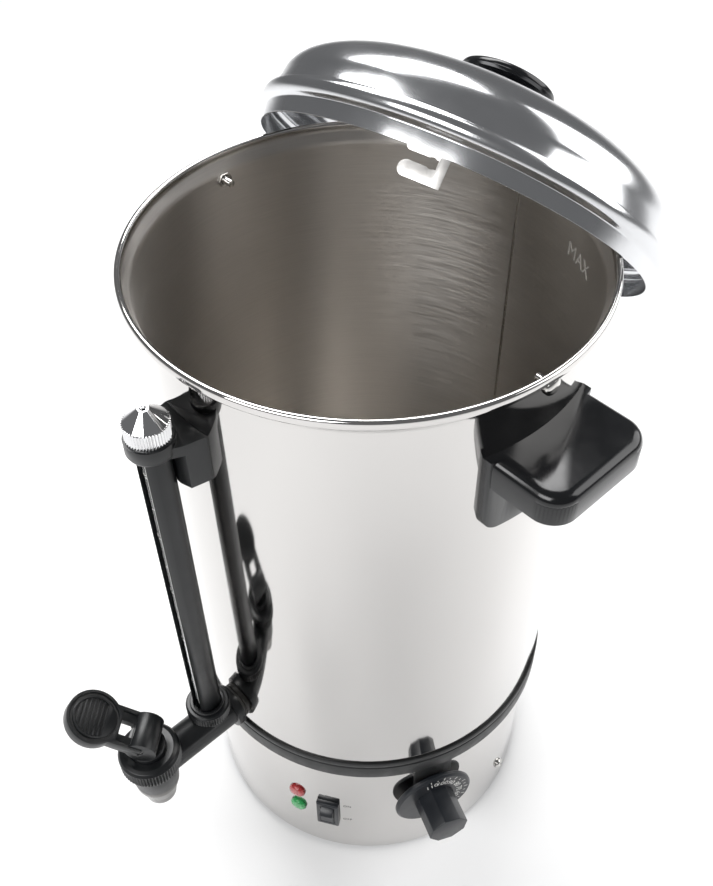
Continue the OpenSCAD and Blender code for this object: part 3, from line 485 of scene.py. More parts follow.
# What is under the base: yellow brass, pale cast metal, heat-browned sheath, cream ceramic.
BRASS = PolishedMetal("turned_brass", "#B08D4C", 0.25, wave_mm=10.0, wave_height_mm=0.02)
ALUMINIUM = BrushedMetal("cast_aluminium", "#B9BABB", 0.5,
                         line_mm=3.0, spread=0.08, line_height_mm=0.02, anisotropy=0.0)
SHEATH = BrushedMetal("heat_tinted_sheath", "#6E6660", 0.4,
                      line_mm=2.0, spread=0.08, line_height_mm=0.01, anisotropy=0.0)
CERAMIC = Matt("ceramic_body", "#D9D3C4", 0.5)


# ---------------------------------------------------------------- mesh helpers

# Points closer than these are merged, in millimetres.
TURNED_WELD = 0.002
LETTER_WELD = 0.001
SOLID_WELD = 0.004
# Shorter edges than this are dissolved in a turned mesh.
SLIVER = 0.0005
# Faces of a solid that turn less than this, in degrees, are one face.
SAME_FACE = 0.6
# A corner that turns less than this, in degrees, stays as it is in a rounded outline.
STRAIGHT = 2.0
# An edge that turns more than this, in degrees, is broken unless a piece says otherwise.
EDGE_ANGLE = 40.0


def outward(bearing: float, radius: float, height: float) -> Matrix:
    """Stands a piece on the urn's side.

    Args:
        bearing: degrees from the tap towards +X.
        radius: distance from the tank's axis, in millimetres.
        height: height above the feet, in millimetres.

    Returns:
        A matrix whose Z points outwards and whose Y points up.
    """
    a = math.radians(bearing)
    out = Vector((math.sin(a), -math.cos(a), 0))
    side = Vector((math.cos(a), math.sin(a), 0))
    turn = Matrix((side, Vector((0, 0, 1)), out)).transposed().to_4x4()
    return Matrix.Translation((out * radius + Vector((0, 0, height))) * MM) @ turn


def upright(distance: float) -> Matrix:
    """Returns the place of an upright axis that stands in front of the tank, towards the tap."""
    return Matrix.Translation((0, -distance * MM, 0))


def bar(left: float, low: float, right: float, high: float) -> Outline:
    """Returns the outline of an upright rectangle."""
    return [(left, low), (right, low), (right, high), (left, high)]


def fillet(corners: list[Point], steps: int = 6) -> Outline:
    """Rounds the corners of an open outline.

    Args:
        corners: x, y and corner radius of each point.
        steps: the number of steps in each rounded corner.

    Returns:
        The outline with an arc in place of each corner that has a radius.
    """
    points: Outline = []
    for i, (x, y, radius) in enumerate(corners):
        here = Vector((x, y))
        if radius <= 0 or i in (0, len(corners) - 1):
            points.append((x, y))
            continue
        back = (Vector(corners[i - 1][:2]) - here).normalized()
        ahead = (Vector(corners[i + 1][:2]) - here).normalized()
        half = back.angle(ahead) / 2
        if half > math.radians(90 - STRAIGHT / 2):
            points.append((x, y))
            continue
        reach = radius / math.tan(half)
        start, stop = here + back * reach, here + ahead * reach
        centre = here + (back + ahead).normalized() * (radius / math.sin(half))
        first, last = start - centre, stop - centre
        sweep = first.angle_signed(last)
        for k in range(steps + 1):
            a = -sweep * k / steps
            spoke = Vector((first.x * math.cos(a) - first.y * math.sin(a),
                            first.x * math.sin(a) + first.y * math.cos(a)))
            points.append(tuple(centre + spoke))
    return points


def arc(cx: float, cy: float, radius: float, start: float, stop: float, steps: int) -> Outline:
    """Returns the points of an arc, with its angles in degrees."""
    turn = [math.radians(start + (stop - start) * i / steps) for i in range(steps + 1)]
    return [(cx + radius * math.cos(a), cy + radius * math.sin(a)) for a in turn]


def turned(outline: Outline, steps: int = 128, closed: bool = True) -> bmesh.types.BMesh:
    """Spins an outline of (radius, height) round Z.

    Args:
        outline: points in millimetres.
        steps: the number of steps round the axis.
        closed: joins the last point to the first; false for an outline that ends on the axis.

    Returns:
        A closed mesh in metres.
    """
    bm = bmesh.new()
    verts = [bm.verts.new((r * MM, 0, z * MM)) for r, z in outline]
    pairs = list(zip(verts, verts[1:])) + ([(verts[-1], verts[0])] if closed else [])
    edges = [bm.edges.new(pair) for pair in pairs]
    bmesh.ops.spin(bm, geom=verts + edges, cent=(0, 0, 0), axis=(0, 0, 1), angle=math.tau,
                   steps=steps, use_merge=True)
    bmesh.ops.remove_doubles(bm, verts=bm.verts, dist=TURNED_WELD * MM)
    bmesh.ops.dissolve_degenerate(bm, dist=SLIVER * MM, edges=bm.edges)
    bmesh.ops.recalc_face_normals(bm, faces=bm.faces)
    return bm


def knurl(bm: bmesh.types.BMesh, teeth: int, depth: float, low: float, high: float,
          beyond: float) -> None:
    """Presses a straight knurl into a turned mesh.

    Args:
        bm: a mesh spun round Z with TOOTH_STEPS steps for each tooth.
        teeth: the number of teeth.
        depth: how deep the grooves go, in millimetres.
        low: where the knurl starts, in millimetres.
        high: where it ends.
        beyond: only points farther out than this radius move.
    """
    for v in bm.verts:
        radius = math.hypot(v.co.x, v.co.y) / MM
        if radius < beyond or not low <= v.co.z / MM <= high:
            continue
        phase = (math.degrees(math.atan2(v.co.y, v.co.x)) * teeth / 360) % 1.0
        sunk = depth * (0.5 - 0.5 * math.cos(math.tau * phase))
        v.co.x *= (radius - sunk) / radius
        v.co.y *= (radius - sunk) / radius


def extruded(outline: Outline, depth: float, bevel: float = 0.0, segments: int = 2) -> bmesh.types.BMesh:
    """Extrudes a closed outline up Z and breaks its edges.

    Args:
        outline: points in millimetres, in order.
        depth: height of the piece, in millimetres.
        bevel: width of the broken edge, in millimetres; zero leaves it sharp.
        segments: steps in the broken edge.

    Returns:
        A closed mesh in metres.
    """
    bm = bmesh.new()
    face = bm.faces.new([bm.verts.new((x * MM, y * MM, 0)) for x, y in outline])
    grown = bmesh.ops.extrude_face_region(bm, geom=[face])
    up = [v for v in grown["geom"] if isinstance(v, bmesh.types.BMVert)]
    bmesh.ops.translate(bm, verts=up, vec=(0, 0, depth * MM))
    bmesh.ops.recalc_face_normals(bm, faces=bm.faces)
    if bevel:
        soften(bm, bevel, EDGE_ANGLE, segments)
    return bm


def soften(bm: bmesh.types.BMesh, width: float, angle: float, segments: int) -> None:
    """Bevels each edge that turns more than an angle.

    Args:
        bm: the mesh.
        width: width of the bevel in millimetres.
        angle: the least turn that counts as an edge, in degrees.
        segments: steps in the bevel.
    """
    least = math.radians(angle)
    edges = [e for e in bm.edges if len(e.link_faces) == 2 and e.calc_face_angle(0) > least]
    if edges:
        bmesh.ops.bevel(bm, geom=edges, offset=width * MM, offset_type="OFFSET", affect="EDGES",
                        segments=segments, profile=0.5, material=-1, clamp_overlap=True)


def joined(parts: list[bmesh.types.BMesh]) -> bmesh.types.BMesh:
    """Joins several meshes in one and frees them.

    Args:
        parts: the meshes.

    Returns:
        One mesh with the parts in order.
    """
    whole = bmesh.new()
    for part in parts:
        scratch = bpy.data.meshes.new("scratch")
        part.to_mesh(scratch)
        part.free()
        whole.from_mesh(scratch)
        bpy.data.meshes.remove(scratch)
    return whole


def lettering(text: str, height: float, thick: float, spacing: float = 1.0) -> bmesh.types.BMesh:
    """Makes flat lettering as a mesh that stands centred on the origin, in metres.

    Args:
        text: the digits or words.
        height: the letters' nominal height in millimetres.
        thick: thickness of the ink in millimetres.
        spacing: the space between letters, where one is the font's own.

    Returns:
        A closed mesh in the XY plane.
    """
    curve = bpy.data.curves.new("letters", "FONT")
    curve.body = text
    curve.size = height * MM
    curve.align_x, curve.align_y = "CENTER", "CENTER"
    curve.space_character = spacing
    curve.extrude = thick * MM / 2
    curve.resolution_u = 3
    holder = bpy.data.objects.new("letters", curve)
    bpy.context.scene.collection.objects.link(holder)
    bpy.context.view_layer.update()
    depsgraph = bpy.context.evaluated_depsgraph_get()
    mesh = bpy.data.meshes.new_from_object(holder.evaluated_get(depsgraph))
    bm = bmesh.new()
    bm.from_mesh(mesh)
    bmesh.ops.remove_doubles(bm, verts=bm.verts, dist=LETTER_WELD * MM)
    bpy.data.objects.remove(holder)
    bpy.data.curves.remove(curve)
    bpy.data.meshes.remove(mesh)
    return bm


def wrap(bm: bmesh.types.BMesh, bearing: float, radius: float, height: float,
         way: Way = Way.OUTSIDE) -> None:
    """Bends a flat mesh round the Z axis.

    Args:
        bm: a mesh that lies in the XY plane, with Z as its thickness.
        bearing: where its origin goes.
        radius: the radius of the surface that it lies on.
        height: the height of its origin.
        way: outside reads from outside, inside reads from inside.
    """
    for v in bm.verts:
        a = math.radians(bearing) + way.value * v.co.x / (radius * MM)
        r = radius * MM + way.value * v.co.z
        v.co = Vector((r * math.sin(a), -r * math.cos(a), height * MM + v.co.y))
    bmesh.ops.recalc_face_normals(bm, faces=bm.faces)


def place(bm: bmesh.types.BMesh, matrix: Matrix) -> bmesh.types.BMesh:
    """Moves a mesh to its place and returns it."""
    bmesh.ops.transform(bm, matrix=matrix, verts=bm.verts)
    return bm


def piece(bm: bmesh.types.BMesh, name: str, body: str, finishes: list[Finish] | Finish,
          shading: Shading = Shading.TURNED, stands_for: tuple[str, ...] = ()) -> bpy.types.Object:
    """Turns a mesh into a finished piece that rides on a body.

    Args:
        bm: the mesh, already in place and in metres.
        name: the piece's name.
        body: the body that it rides on.
        finishes: one finish, or one for each material index.
        shading: which edges stay sharp.
        stands_for: the solids that it takes the place of.

    Returns:
        The new object, at the origin.
    """
    mesh = bpy.data.meshes.new(name)
    bm.to_mesh(mesh)
    bm.free()
    for finish in finishes if isinstance(finishes, list) else [finishes]:
        mesh.materials.append(finish.material())
    mesh.shade_smooth()
    mesh.set_sharp_from_angle(angle=math.radians(shading.value))
    made = bpy.data.objects.new(name, mesh)
    bpy.context.scene.collection.objects.link(made)
    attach(made, body)
    if stands_for:
        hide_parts(*stands_for)
    LOG.info("piece %s on %s: %d faces", name, body, len(mesh.polygons))
    return made


def body_of(node: str) -> str:
    """Returns the name of the body that a solid rides on."""
    return frame["nodes"][node]["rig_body"]


def edged_copy(node: str, finish: Finish, bevel: float, angle: float = EDGE_ANGLE,
               segments: int = 2) -> bpy.types.Object:
    """Stands a copy of a solid in its place, with its sharp edges broken.

    Args:
        node: the solid's name.
        finish: the copy's finish.
        bevel: width of the broken edges in millimetres.
        angle: the least turn that counts as an edge, in degrees.
        segments: steps in each broken edge.

    Returns:
        The new piece.
    """
    bm = bmesh.new()
    bm.from_mesh(frame["nodes"][node].data)
    bmesh.ops.remove_doubles(bm, verts=bm.verts, dist=SOLID_WELD * MM)
    bmesh.ops.dissolve_limit(bm, angle_limit=math.radians(SAME_FACE), verts=bm.verts, edges=bm.edges,
                             delimit={"NORMAL"})
    bmesh.ops.recalc_face_normals(bm, faces=bm.faces)
    soften(bm, bevel, angle, segments)
    return piece(bm, node + "_dressed", body_of(node), finish, Shading.MOULDED, (node,))


def refinish(node: str, finish: Finish) -> None:
    """Gives a solid that keeps its own mesh a finish.

    Args:
        node: the solid's name.
        finish: its finish.
    """
    mesh = frame["nodes"][node].data
    mesh.materials.clear()
    mesh.materials.append(finish.material())


# ---------------------------------------------------------------- tank


@dataclass
class Tank:
    """The vessel: one sheet wall with a stepped floor and a rolled rim."""

    wall_r: float = 110.0
    sheet: float = SHEET
    # How far a bend's corner moves from the sheet's outer face to its inner one.
    corner_shift: float = 0.3
    floor_z: float = FLOOR_Z
    floor_step: float = 3.0
    step_r: float = 98.3
    step_run: float = 3.0
    # Within floor_r a face that looks up is floor; this far above its outside, one that looks in is wall.
    floor_r: float = 100.0
    floor_skin: float = 0.5
    flare: float = 3.25
    flare_h: float = 5.5
    flare_bend: float = 7.0
    lip_h: float = 2.2
    lip_bend: float = 3.0
    bead_w: float = 3.2
    bead_h: float = 5.3
    bead_steps: int = 14
    # How far the flare reaches up into the bead before the lip starts.
    tuck: float = 0.6
    seam_w: float = 1.8
    seam_h: float = 0.16
    seam_edge: float = 0.1
    seam_start: float = 6.0
    seam_bearing: float = 180.0
    mark_h: float = 11.0
    mark_t: float = 0.3
    mark_spacing: float = 1.05
    mark_bearing: float = 152.0
    mark_z: float = 386.0
    rim_z: float = field(default_factory=lambda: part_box("tank")[1].z / MM)

    def wall(self) -> None:
        """Builds the wall and floor as one closed sheet, polished outside and brushed inside."""
        raised = self.floor_z + self.floor_step
        top = self.rim_z - self.bead_h + self.tuck
        low = top - self.flare_h
        lip_r = self.wall_r + self.flare
        outer = fillet([(0, raised, 0), (self.step_r - self.step_run, raised, 1),
                        (self.step_r, self.floor_z, 1), (self.wall_r, self.floor_z, 1.2),
                        (self.wall_r, low, self.flare_bend), (lip_r, top, self.lip_bend),
                        (lip_r, top + self.lip_h, 0)])
        shift = self.corner_shift
        inner = fillet([(lip_r - self.sheet, top + self.lip_h, 0),
                        (lip_r - self.sheet, top + shift, self.lip_bend),
                        (self.wall_r - self.sheet, low + shift, self.flare_bend),
                        (self.wall_r - self.sheet, self.floor_z + self.sheet, 4),
                        (self.step_r - shift, self.floor_z + self.sheet, 1.4),
                        (self.step_r - self.step_run - shift, raised + self.sheet, 1.4),
                        (0, raised + self.sheet, 0)])
        bm = turned(outer + inner, ROUND, closed=False)
        for face in bm.faces:
            face.material_index = 1 if self.looks_in(face) else 0
        piece(bm, "tank_wall", "urn", [MIRROR, INSIDE], stands_for=("tank",))

    def looks_in(self, face: bmesh.types.BMFace) -> bool:
        """Tells whether a face of the wall looks into the tank.

        Args:
            face: a face of the closed sheet, in metres.

        Returns:
            True for the inside of the wall and the top of the floor.
        """
        centre = face.calc_center_median()
        across = Vector((centre.x, centre.y, 0))
        inwards = face.normal.dot(across) < -1e-6 and centre.z > (self.floor_z + self.floor_skin) * MM
        on_floor = face.normal.z > 0.5 and across.length < self.floor_r * MM
        return inwards or on_floor

    def bead(self) -> None:
        """Builds the rolled bead that stiffens the rim."""
        half = self.bead_w / 2
        mid = self.wall_r + self.flare - self.sheet + half
        outline = (arc(mid, self.rim_z - half, half, 0, 180, self.bead_steps)
                   + arc(mid, self.rim_z - self.bead_h + half, half, 180, 360, self.bead_steps))
        piece(turned(outline, ROUND), "tank_rim_bead", "urn", MIRROR)

    def seam(self) -> None:
        """Builds the dressed-down weld bead that runs up the back of the wall, inside and out."""
        half = self.seam_w / 2
        low, high = self.floor_z + self.seam_start, self.rim_z - self.bead_h - self.flare_h
        for way, radius in ((Way.OUTSIDE, self.wall_r), (Way.INSIDE, self.wall_r - self.sheet)):
            bm = extruded(bar(-half, low, half, high), self.seam_h, self.seam_edge)
            wrap(bm, self.seam_bearing, radius, 0, way)
            piece(bm, f"tank_seam_{way.name.lower()}", "urn", SEAM_STEEL, Shading.MOULDED)

    def mark(self) -> None:
        """Etches the filling mark inside the wall, drawn slightly proud so that it shows."""
        bm = lettering("MAX", self.mark_h, self.mark_t, self.mark_spacing)
        wrap(bm, self.mark_bearing, self.wall_r - self.sheet, self.mark_z, Way.INSIDE)
        piece(bm, "tank_filling_mark", "urn", ETCHED, Shading.MOULDED)

    def build(self) -> None:
        """Builds every piece of the tank."""
        self.wall()
        self.bead()
        self.seam()
        self.mark()
        for node in ("lid_lock_pins", "lid_lock_nuts"):
            edged_copy(node, PLATED, 0.2, angle=32)


# ---------------------------------------------------------------- base


@dataclass
class Base:
    """The heated base: polished skirt, black trim ring, pan, feet and screws."""

    skirt_r: float = SKIRT_R
    sheet: float = SHEET
    skirt_low: float = 4.0
    skirt_top: float = FLOOR_Z
    switch_bearing: float = 32.5
    switch_z: float = 52.3
    words: tuple[tuple[str, float], ...] = (("ON", 10.0), ("OFF", -8.5))
    word_h: float = 3.2
    word_spacing: float = 1.1
    word_aside: float = 6.6

    def skirt(self) -> None:
        """Builds the skirt as a closed sheet with its lower edge rounded over."""
        inside = self.skirt_r - self.sheet
        outline = fillet([(inside, self.skirt_top, 0), (self.skirt_r, self.skirt_top, 0.2),
                          (self.skirt_r, self.skirt_low, 0.5), (inside, self.skirt_low, 0)], 4)
        piece(turned(outline, ROUND), "base_skirt_dressed", "urn", MIRROR,
              stands_for=("base_skirt",))

    def print_words(self) -> None:
        """Prints the switch's two positions beside it."""
        for word, rise in self.words:
            bm = lettering(word, self.word_h, INK, self.word_spacing)
            wrap(bm, self.switch_bearing + self.word_aside, self.skirt_r + PRINT_LIFT,
                 self.switch_z + rise)
            piece(bm, f"print_{word.lower()}", "urn", BLACK_INK, Shading.FLAT)

    def build(self) -> None:
        """Builds every piece of the base."""
        self.skirt()
        self.print_words()
        edged_copy("trim_ring", TRIM_BLACK, 0.35)
        edged_copy("feet", FOOT_RUBBER, 0.3, angle=32)
        edged_copy("skirt_screws", PLATED, 0.12)
        edged_copy("cord_bush", DIAL_BLACK_PAINTED_SHEEN, 0.2)
        refinish("base_pan", GALVANISED)
        refinish("heater_plate", ALUMINIUM)
        refinish("heating_element", SHEATH)
        refinish("thermal_cutout", CERAMIC)
        refinish("terminal_block", CERAMIC)


# ---------------------------------------------------------------- controls


@dataclass
class Controls:
    """The thermostat dial, the rocker switch and the two lamps."""

    skirt_r: float = SKIRT_R
    dial_bearing: float = 68.0
    dial_z: float = 73.0
    dial_back: float = 108.75
    dial_r: float = 25.2
    dial_h: float = 3.7
    recess_r: float = 9.2
    recess_h: float = 2.6
    grip_r: float = 12.8
    grip_h: float = 22.0
    grip_sides: int = 8
    grip_turn: float = 13.0
    # How deep the grip is let into the skirt.
    grip_root: float = 0.6
    grip_edge: float = 0.55
    numbers: tuple[int, ...] = (110, 100, 90, 80, 70, 60, 50, 40, 30)
    # Turn of the first number from the top of the dial, and from each number to the next.
    first_turn: float = 8.0
    number_step: float = 24.0
    number_h: float = 5.6
    number_r: float = 16.8
    tick_r: float = 20.4
    tick_w: float = 0.5
    long_tick: float = 2.5
    short_tick: float = 1.5
    dial_ink: float = 0.04
    lamp_bearing: float = 21.3
    red_z: float = 67.0
    green_z: float = 48.0
    lamp_r: float = 5.5
    lens_h: float = 3.1
    lens_lip: float = 0.65
    stem_l: float = 9.0

    def dial(self) -> None:
        """Builds the numbered skirt and the eight-sided grip as one moulding."""
        edge, top = self.dial_r, self.dial_h
        disc = turned(fillet([
            (0, self.recess_h, 0), (self.recess_r, self.recess_h, 0), (self.recess_r, 0, 0.2),
            (edge - 0.7, 0, 0.3), (edge, 0.8, 0.3), (edge, top - 1.2, 0.5), (edge - 1.4, top, 0.5),
            (0, top, 0)], 4), 160, closed=False)
        turns = [math.radians(self.grip_turn + 360 * i / self.grip_sides) for i in range(self.grip_sides)]
        sides = [(self.grip_r * math.cos(a), self.grip_r * math.sin(a)) for a in turns]
        grip = extruded(sides, self.grip_h + self.grip_root, self.grip_edge, 3)
        place(grip, Matrix.Translation((0, 0, (top - self.grip_root) * MM)))
        bm = place(joined([disc, grip]), outward(self.dial_bearing, self.dial_back, self.dial_z))
        piece(bm, "dial_dressed", "dial", DIAL_BLACK_PAINTED_SHEEN, stands_for=("dial",))

    def on_dial(self, bm: bmesh.types.BMesh, radius: float, count: float) -> bmesh.types.BMesh:
        """Moves a print from the dial's centre to its place round the skirt.

        Args:
            bm: the print, upright on the origin.
            radius: how far out it goes, in millimetres.
            count: how many numbers it stands past the first one.

        Returns:
            The same mesh.
        """
        place(bm, Matrix.Translation((0, radius * MM, 0)))
        turn = self.first_turn - self.number_step * count
        return place(bm, Matrix.Rotation(math.radians(turn), 4, "Z"))

    def numbering(self) -> None:
        """Prints the temperatures and their ticks round the skirt, falling clockwise from the top."""
        parts = [self.on_dial(lettering(str(number), self.number_h, self.dial_ink), self.number_r, i)
                 for i, number in enumerate(self.numbers)]
        half = self.tick_w / 2
        for i in range(2 * len(self.numbers) - 1):
            length = self.short_tick if i % 2 else self.long_tick
            tick = extruded(bar(-half, 0, half, length), self.dial_ink)
            parts.append(self.on_dial(tick, self.tick_r, i / 2))
        face = outward(self.dial_bearing, self.dial_back + self.dial_h + PRINT_LIFT, self.dial_z)
        piece(place(joined(parts), face), "dial_numbers", "dial", WHITE_INK, Shading.FLAT)

    def lamp(self, name: str, height: float, finish: Finish) -> None:
        """Builds one domed lens with its stem.

        Args:
            name: the solid that it takes the place of.
            height: height of its centre, in millimetres.
            finish: the lens's finish.
        """
        r, stem = self.lamp_r, self.lamp_r - self.lens_lip
        outline = fillet([(0, -self.stem_l, 0), (stem, -self.stem_l, 0.3), (stem, 0, 0), (r, 0, 0),
                          (r, 1.1, 0.5), (r - 1.2, 2.4, 1.5), (0, self.lens_h, 0)])
        bm = turned(outline, 64, closed=False)
        place(bm, outward(self.lamp_bearing, self.skirt_r + FIT, height))
        piece(bm, name + "_dressed", "urn", finish, stands_for=(name,))

    def build(self) -> None:
        """Builds every control."""
        self.dial()
        self.numbering()
        self.lamp("lamp_red", self.red_z, RED_LENS)
        self.lamp("lamp_green", self.green_z, GREEN_LENS)
        edged_copy("switch_housing", DIAL_BLACK_PAINTED_SHEEN, 0.3)
        edged_copy("switch_rocker", DIAL_BLACK_PAINTED_SHEEN, 0.4, angle=30, segments=3)
        refinish("lamp_holders", TAP_BLACK)
        refinish("thermostat_body", GALVANISED)
        refinish("thermostat_nut", BRASS)
        refinish("thermostat_shaft", BRASS)


# ---------------------------------------------------------------- handles


@dataclass
class Handles:
    """The two moulded side handles with their studs and nuts."""

    bevel: float = 0.35

    def build(self) -> None:
        """Builds the handles and the metal that holds them."""
        for node in ("handle_right", "handle_left"):
            edged_copy(node, HANDLE_BLACK, self.bevel, angle=45, segments=3)
        edged_copy("handle_nuts", PLATED, 0.25, angle=32)
        refinish("handle_studs", PLATED)


# ---------------------------------------------------------------- tap


@dataclass
class Tap:
    """The swivel-lever tap and its seals."""

    axis: float = 170.0
    bonnet_r: float = 17.4
    bonnet_z: float = 148.4
    bonnet_h: float = 13.0
    seat_h: float = 4.2
    well_r: float = 6.06
    well_h: float = 4.0
    bore: float = 3.06
    teeth: int = 60
    tooth_h: float = 1.1
    chamber_r: float = 13.0
    spout_z: float = 110.4
    spout_r: float = 8.9
    spout_wall: float = 1.4
    throat_r: float = 9.55
    throat_h: float = 8.2

    def bonnet(self) -> None:
        """Builds the knurled bonnet that closes the valve chamber."""
        low, top, r = self.bonnet_z, self.bonnet_z + self.bonnet_h, self.bonnet_r
        inner, seat, well = self.chamber_r + FIT, low + self.seat_h, top - self.well_h
        outline = fillet([
            (inner, low, 0), (r - 0.7, low, 0.3), (r, low + 0.8, 0), (r, low + 1.6, 0),
            (r, top - 3.4, 0), (r, top - 2.4, 0.4), (r - 1.2, top - 0.8, 0.8), (r - 3.4, top, 0.6),
            (self.well_r, top, 0), (self.well_r, well, 0), (self.bore, well, 0), (self.bore, seat, 0),
            (inner, seat, 0)], 5)
        bm = turned(outline, self.teeth * TOOTH_STEPS)
        knurl(bm, self.teeth, self.tooth_h, low=low + 0.5, high=top - 2.7, beyond=r - 0.9)
        piece(place(bm, upright(self.axis)), "tap_bonnet_dressed", "urn", TAP_BLACK,
              stands_for=("tap_bonnet",))

    def spout(self) -> None:
        """Builds the tapered spout, hollow from end to end."""
        low, high = self.spout_z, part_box("tap_spout")[1].z / MM
        inner, throat = self.spout_r - self.spout_wall, high - self.throat_h
        outline = fillet([
            (self.throat_r, high, 0), (self.chamber_r, high, 0.3), (self.chamber_r - 0.4, high - 4, 2),
            (self.spout_r + 1, low + 6, 2), (self.spout_r, low, 0.4), (inner, low, 0.3),
            (inner, throat, 0.3), (self.throat_r, throat, 0)], 5)
        piece(place(turned(outline, 96), upright(self.axis)), "tap_spout_dressed", "urn", SPOUT,
              stands_for=("tap_spout",))

    def build(self) -> None:
        """Builds every piece of the tap."""
        self.bonnet()
        self.spout()
        edged_copy("tap_body", TAP_BLACK, 0.35)
        edged_copy("tap_saddle", TAP_BLACK, 0.25)
        edged_copy("tap_lever", TAP_BLACK, 0.18, angle=38)
        edged_copy("lever_pin", PLATED, 0.2)
        edged_copy("valve_stem", PLATED, 0.15)
        edged_copy("tap_lock_nut", TAP_BLACK, 0.4)
        for node in ("tap_seal_outer", "tap_seal_inner", "valve_seat_cup"):
            edged_copy(node, SILICONE, 0.25)
        refinish("valve_spring", PLATED)


# ---------------------------------------------------------------- gauge


@dataclass
class Gauge:
    """The sight gauge: nut, glass, guard, scale, bracket and knurled cap."""

    axis: float = 128.3
    glass_r: float = 5.9
    glass_t: float = 1.0
    glass_edge: float = 0.3
    guard_r: float = 8.0
    boss_r: float = 9.0
    boss_h: float = 2.5
    nut_r: float = 12.7
    nut_z: float = 154.6
    nut_top: float = 164.6
    nut_teeth: int = 50
    nut_tooth_h: float = 0.9
    collar_r: float = 10.1
    collar_h: float = 1.6
    cup_z: float = 382.0
    cap_r: float = 10.6
    cap_foot: float = 0.4
    cap_band: float = 8.7
    cap_cone: float = 6.9
    cap_plug: float = 4.4
    cap_teeth: int = 46
    cap_tooth_h: float = 0.55
    vent_r: float = 0.8
    # The scale's line: its place beside the slot, and its gaps above the nut and below the cup.
    line_x: float = 1.1
    line_w: float = 0.35
    line_low: float = 4.0
    line_high: float = 11.0
    tick_l: float = 1.6
    tick_w: float = 0.5
    # Height of the mark for no litres, and from each litre to the next.
    litre_zero: float = 147.0
    litre_h: float = 21.25
    first_litre: int = 2
    top_litre: int = 10
    digit_h: float = 3.0
    digit_aside: float = 2.6
    max_h: float = 2.2
    max_aside: float = 2.4
    word_rise: float = 1.6

    def nut(self) -> None:
        """Builds the knurled nut that clamps the glass to the tap."""
        low, top, shoulder, r = self.nut_z, self.nut_top, self.nut_top - self.collar_h, self.nut_r
        boss, bore, ledge = self.boss_r + FIT, self.guard_r + FIT, low + self.boss_h
        outline = fillet([
            (boss, low, 0), (r - 0.6, low, 0.2), (r, low + 0.7, 0), (r, low + 1.3, 0),
            (r, shoulder - 2, 0), (r, shoulder - 1, 0.3), (r - 0.9, shoulder, 0.3),
            (self.collar_r, shoulder, 0), (self.collar_r, top, 0.5), (bore, top, 0.2),
            (bore, ledge, 0), (boss, ledge, 0)], 4)
        bm = turned(outline, self.nut_teeth * TOOTH_STEPS)
        knurl(bm, self.nut_teeth, self.nut_tooth_h, low=low + 0.4, high=shoulder - 1.3, beyond=r - 0.8)
        piece(place(bm, upright(self.axis)), "gauge_nut_dressed", "urn", TAP_BLACK,
              stands_for=("gauge_nut",))

    def glass(self) -> None:
        """Builds the tube with fire-polished ends."""
        low, high = (corner.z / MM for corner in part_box("gauge_tube"))
        outer, inner, edge = self.glass_r, self.glass_r - self.glass_t, self.glass_edge
        # The outline starts part way up the bore, so that all four corners are rounded.
        start = (inner, low + 3, 0)
        outline = fillet([start, (inner, low, edge), (outer, low, edge), (outer, high, edge),
                          (inner, high, edge), start], 3)
        piece(place(turned(outline[:-1], 72), upright(self.axis)), "gauge_glass", "urn", GLASS,
              stands_for=("gauge_tube",))

    def scale(self) -> None:
        """Prints the litre marks on the glass, beside the guard's slot."""
        edge, half = self.line_x, self.tick_w / 2
        line = bar(edge, self.nut_top + self.line_low, edge + self.line_w, self.cup_z - self.line_high)
        parts = [extruded(line, INK)]
        for litre in range(self.first_litre, self.top_litre + 1):
            rise = Matrix.Translation((0, (self.litre_zero + self.litre_h * litre) * MM, 0))
            parts.append(place(extruded(bar(edge - self.tick_l, -half, edge, half), INK), rise))
            if litre % 2 == 0:
                text, height, gap = str(litre), self.digit_h, self.digit_aside
                if litre == self.top_litre:
                    text, height, gap = "MAX", self.max_h, self.max_aside
                aside = Matrix.Translation(((edge - gap) * MM, self.word_rise * MM, 0))
                parts.append(place(lettering(text, height, INK), rise @ aside))
        bm = joined(parts)
        wrap(bm, 0, self.glass_r + PRINT_LIFT, 0)
        piece(place(bm, upright(self.axis)), "gauge_scale", "urn", SCALE_WHITE, Shading.FLAT)

    def cap(self) -> None:
        """Builds the knurled chrome cap with its cone and vent."""
        base, r = self.cup_z + self.cap_foot, self.cap_r
        top = base + self.cap_band
        tip, plug = top + self.cap_cone, base - self.cap_plug
        outline = fillet([
            (self.vent_r, plug, 0), (self.guard_r, plug, 0), (self.guard_r, self.cup_z, 0),
            (r - 0.4, self.cup_z, 0), (r - 0.4, base, 0), (r, base + 0.4, 0), (r, base + 1.0, 0),
            (r, top - 1.0, 0), (r, top - 0.4, 0.2), (r - 0.7, top, 0.4), (2.9, tip - 0.4, 0.5),
            (2.5, tip, 0.2), (1.6, tip, 0.2), (1.2, tip - 1, 0.2), (self.vent_r, tip - 1.2, 0)], 5)
        bm = turned(outline, self.cap_teeth * TOOTH_STEPS)
        knurl(bm, self.cap_teeth, self.cap_tooth_h, low=base + 0.3, high=top - 0.3, beyond=r - 0.5)
        piece(place(bm, upright(self.axis)), "gauge_cap_dressed", "urn", CHROME,
              stands_for=("gauge_cap",))

    def build(self) -> None:
        """Builds every piece of the gauge."""
        self.nut()
        self.glass()
        self.scale()
        self.cap()
        edged_copy("gauge_guard", TAP_BLACK, 0.25)
        edged_copy("gauge_bracket", TAP_BLACK, 0.6, angle=28, segments=3)
        refinish("gauge_seals", FOOT_RUBBER)


# ---------------------------------------------------------------- lid


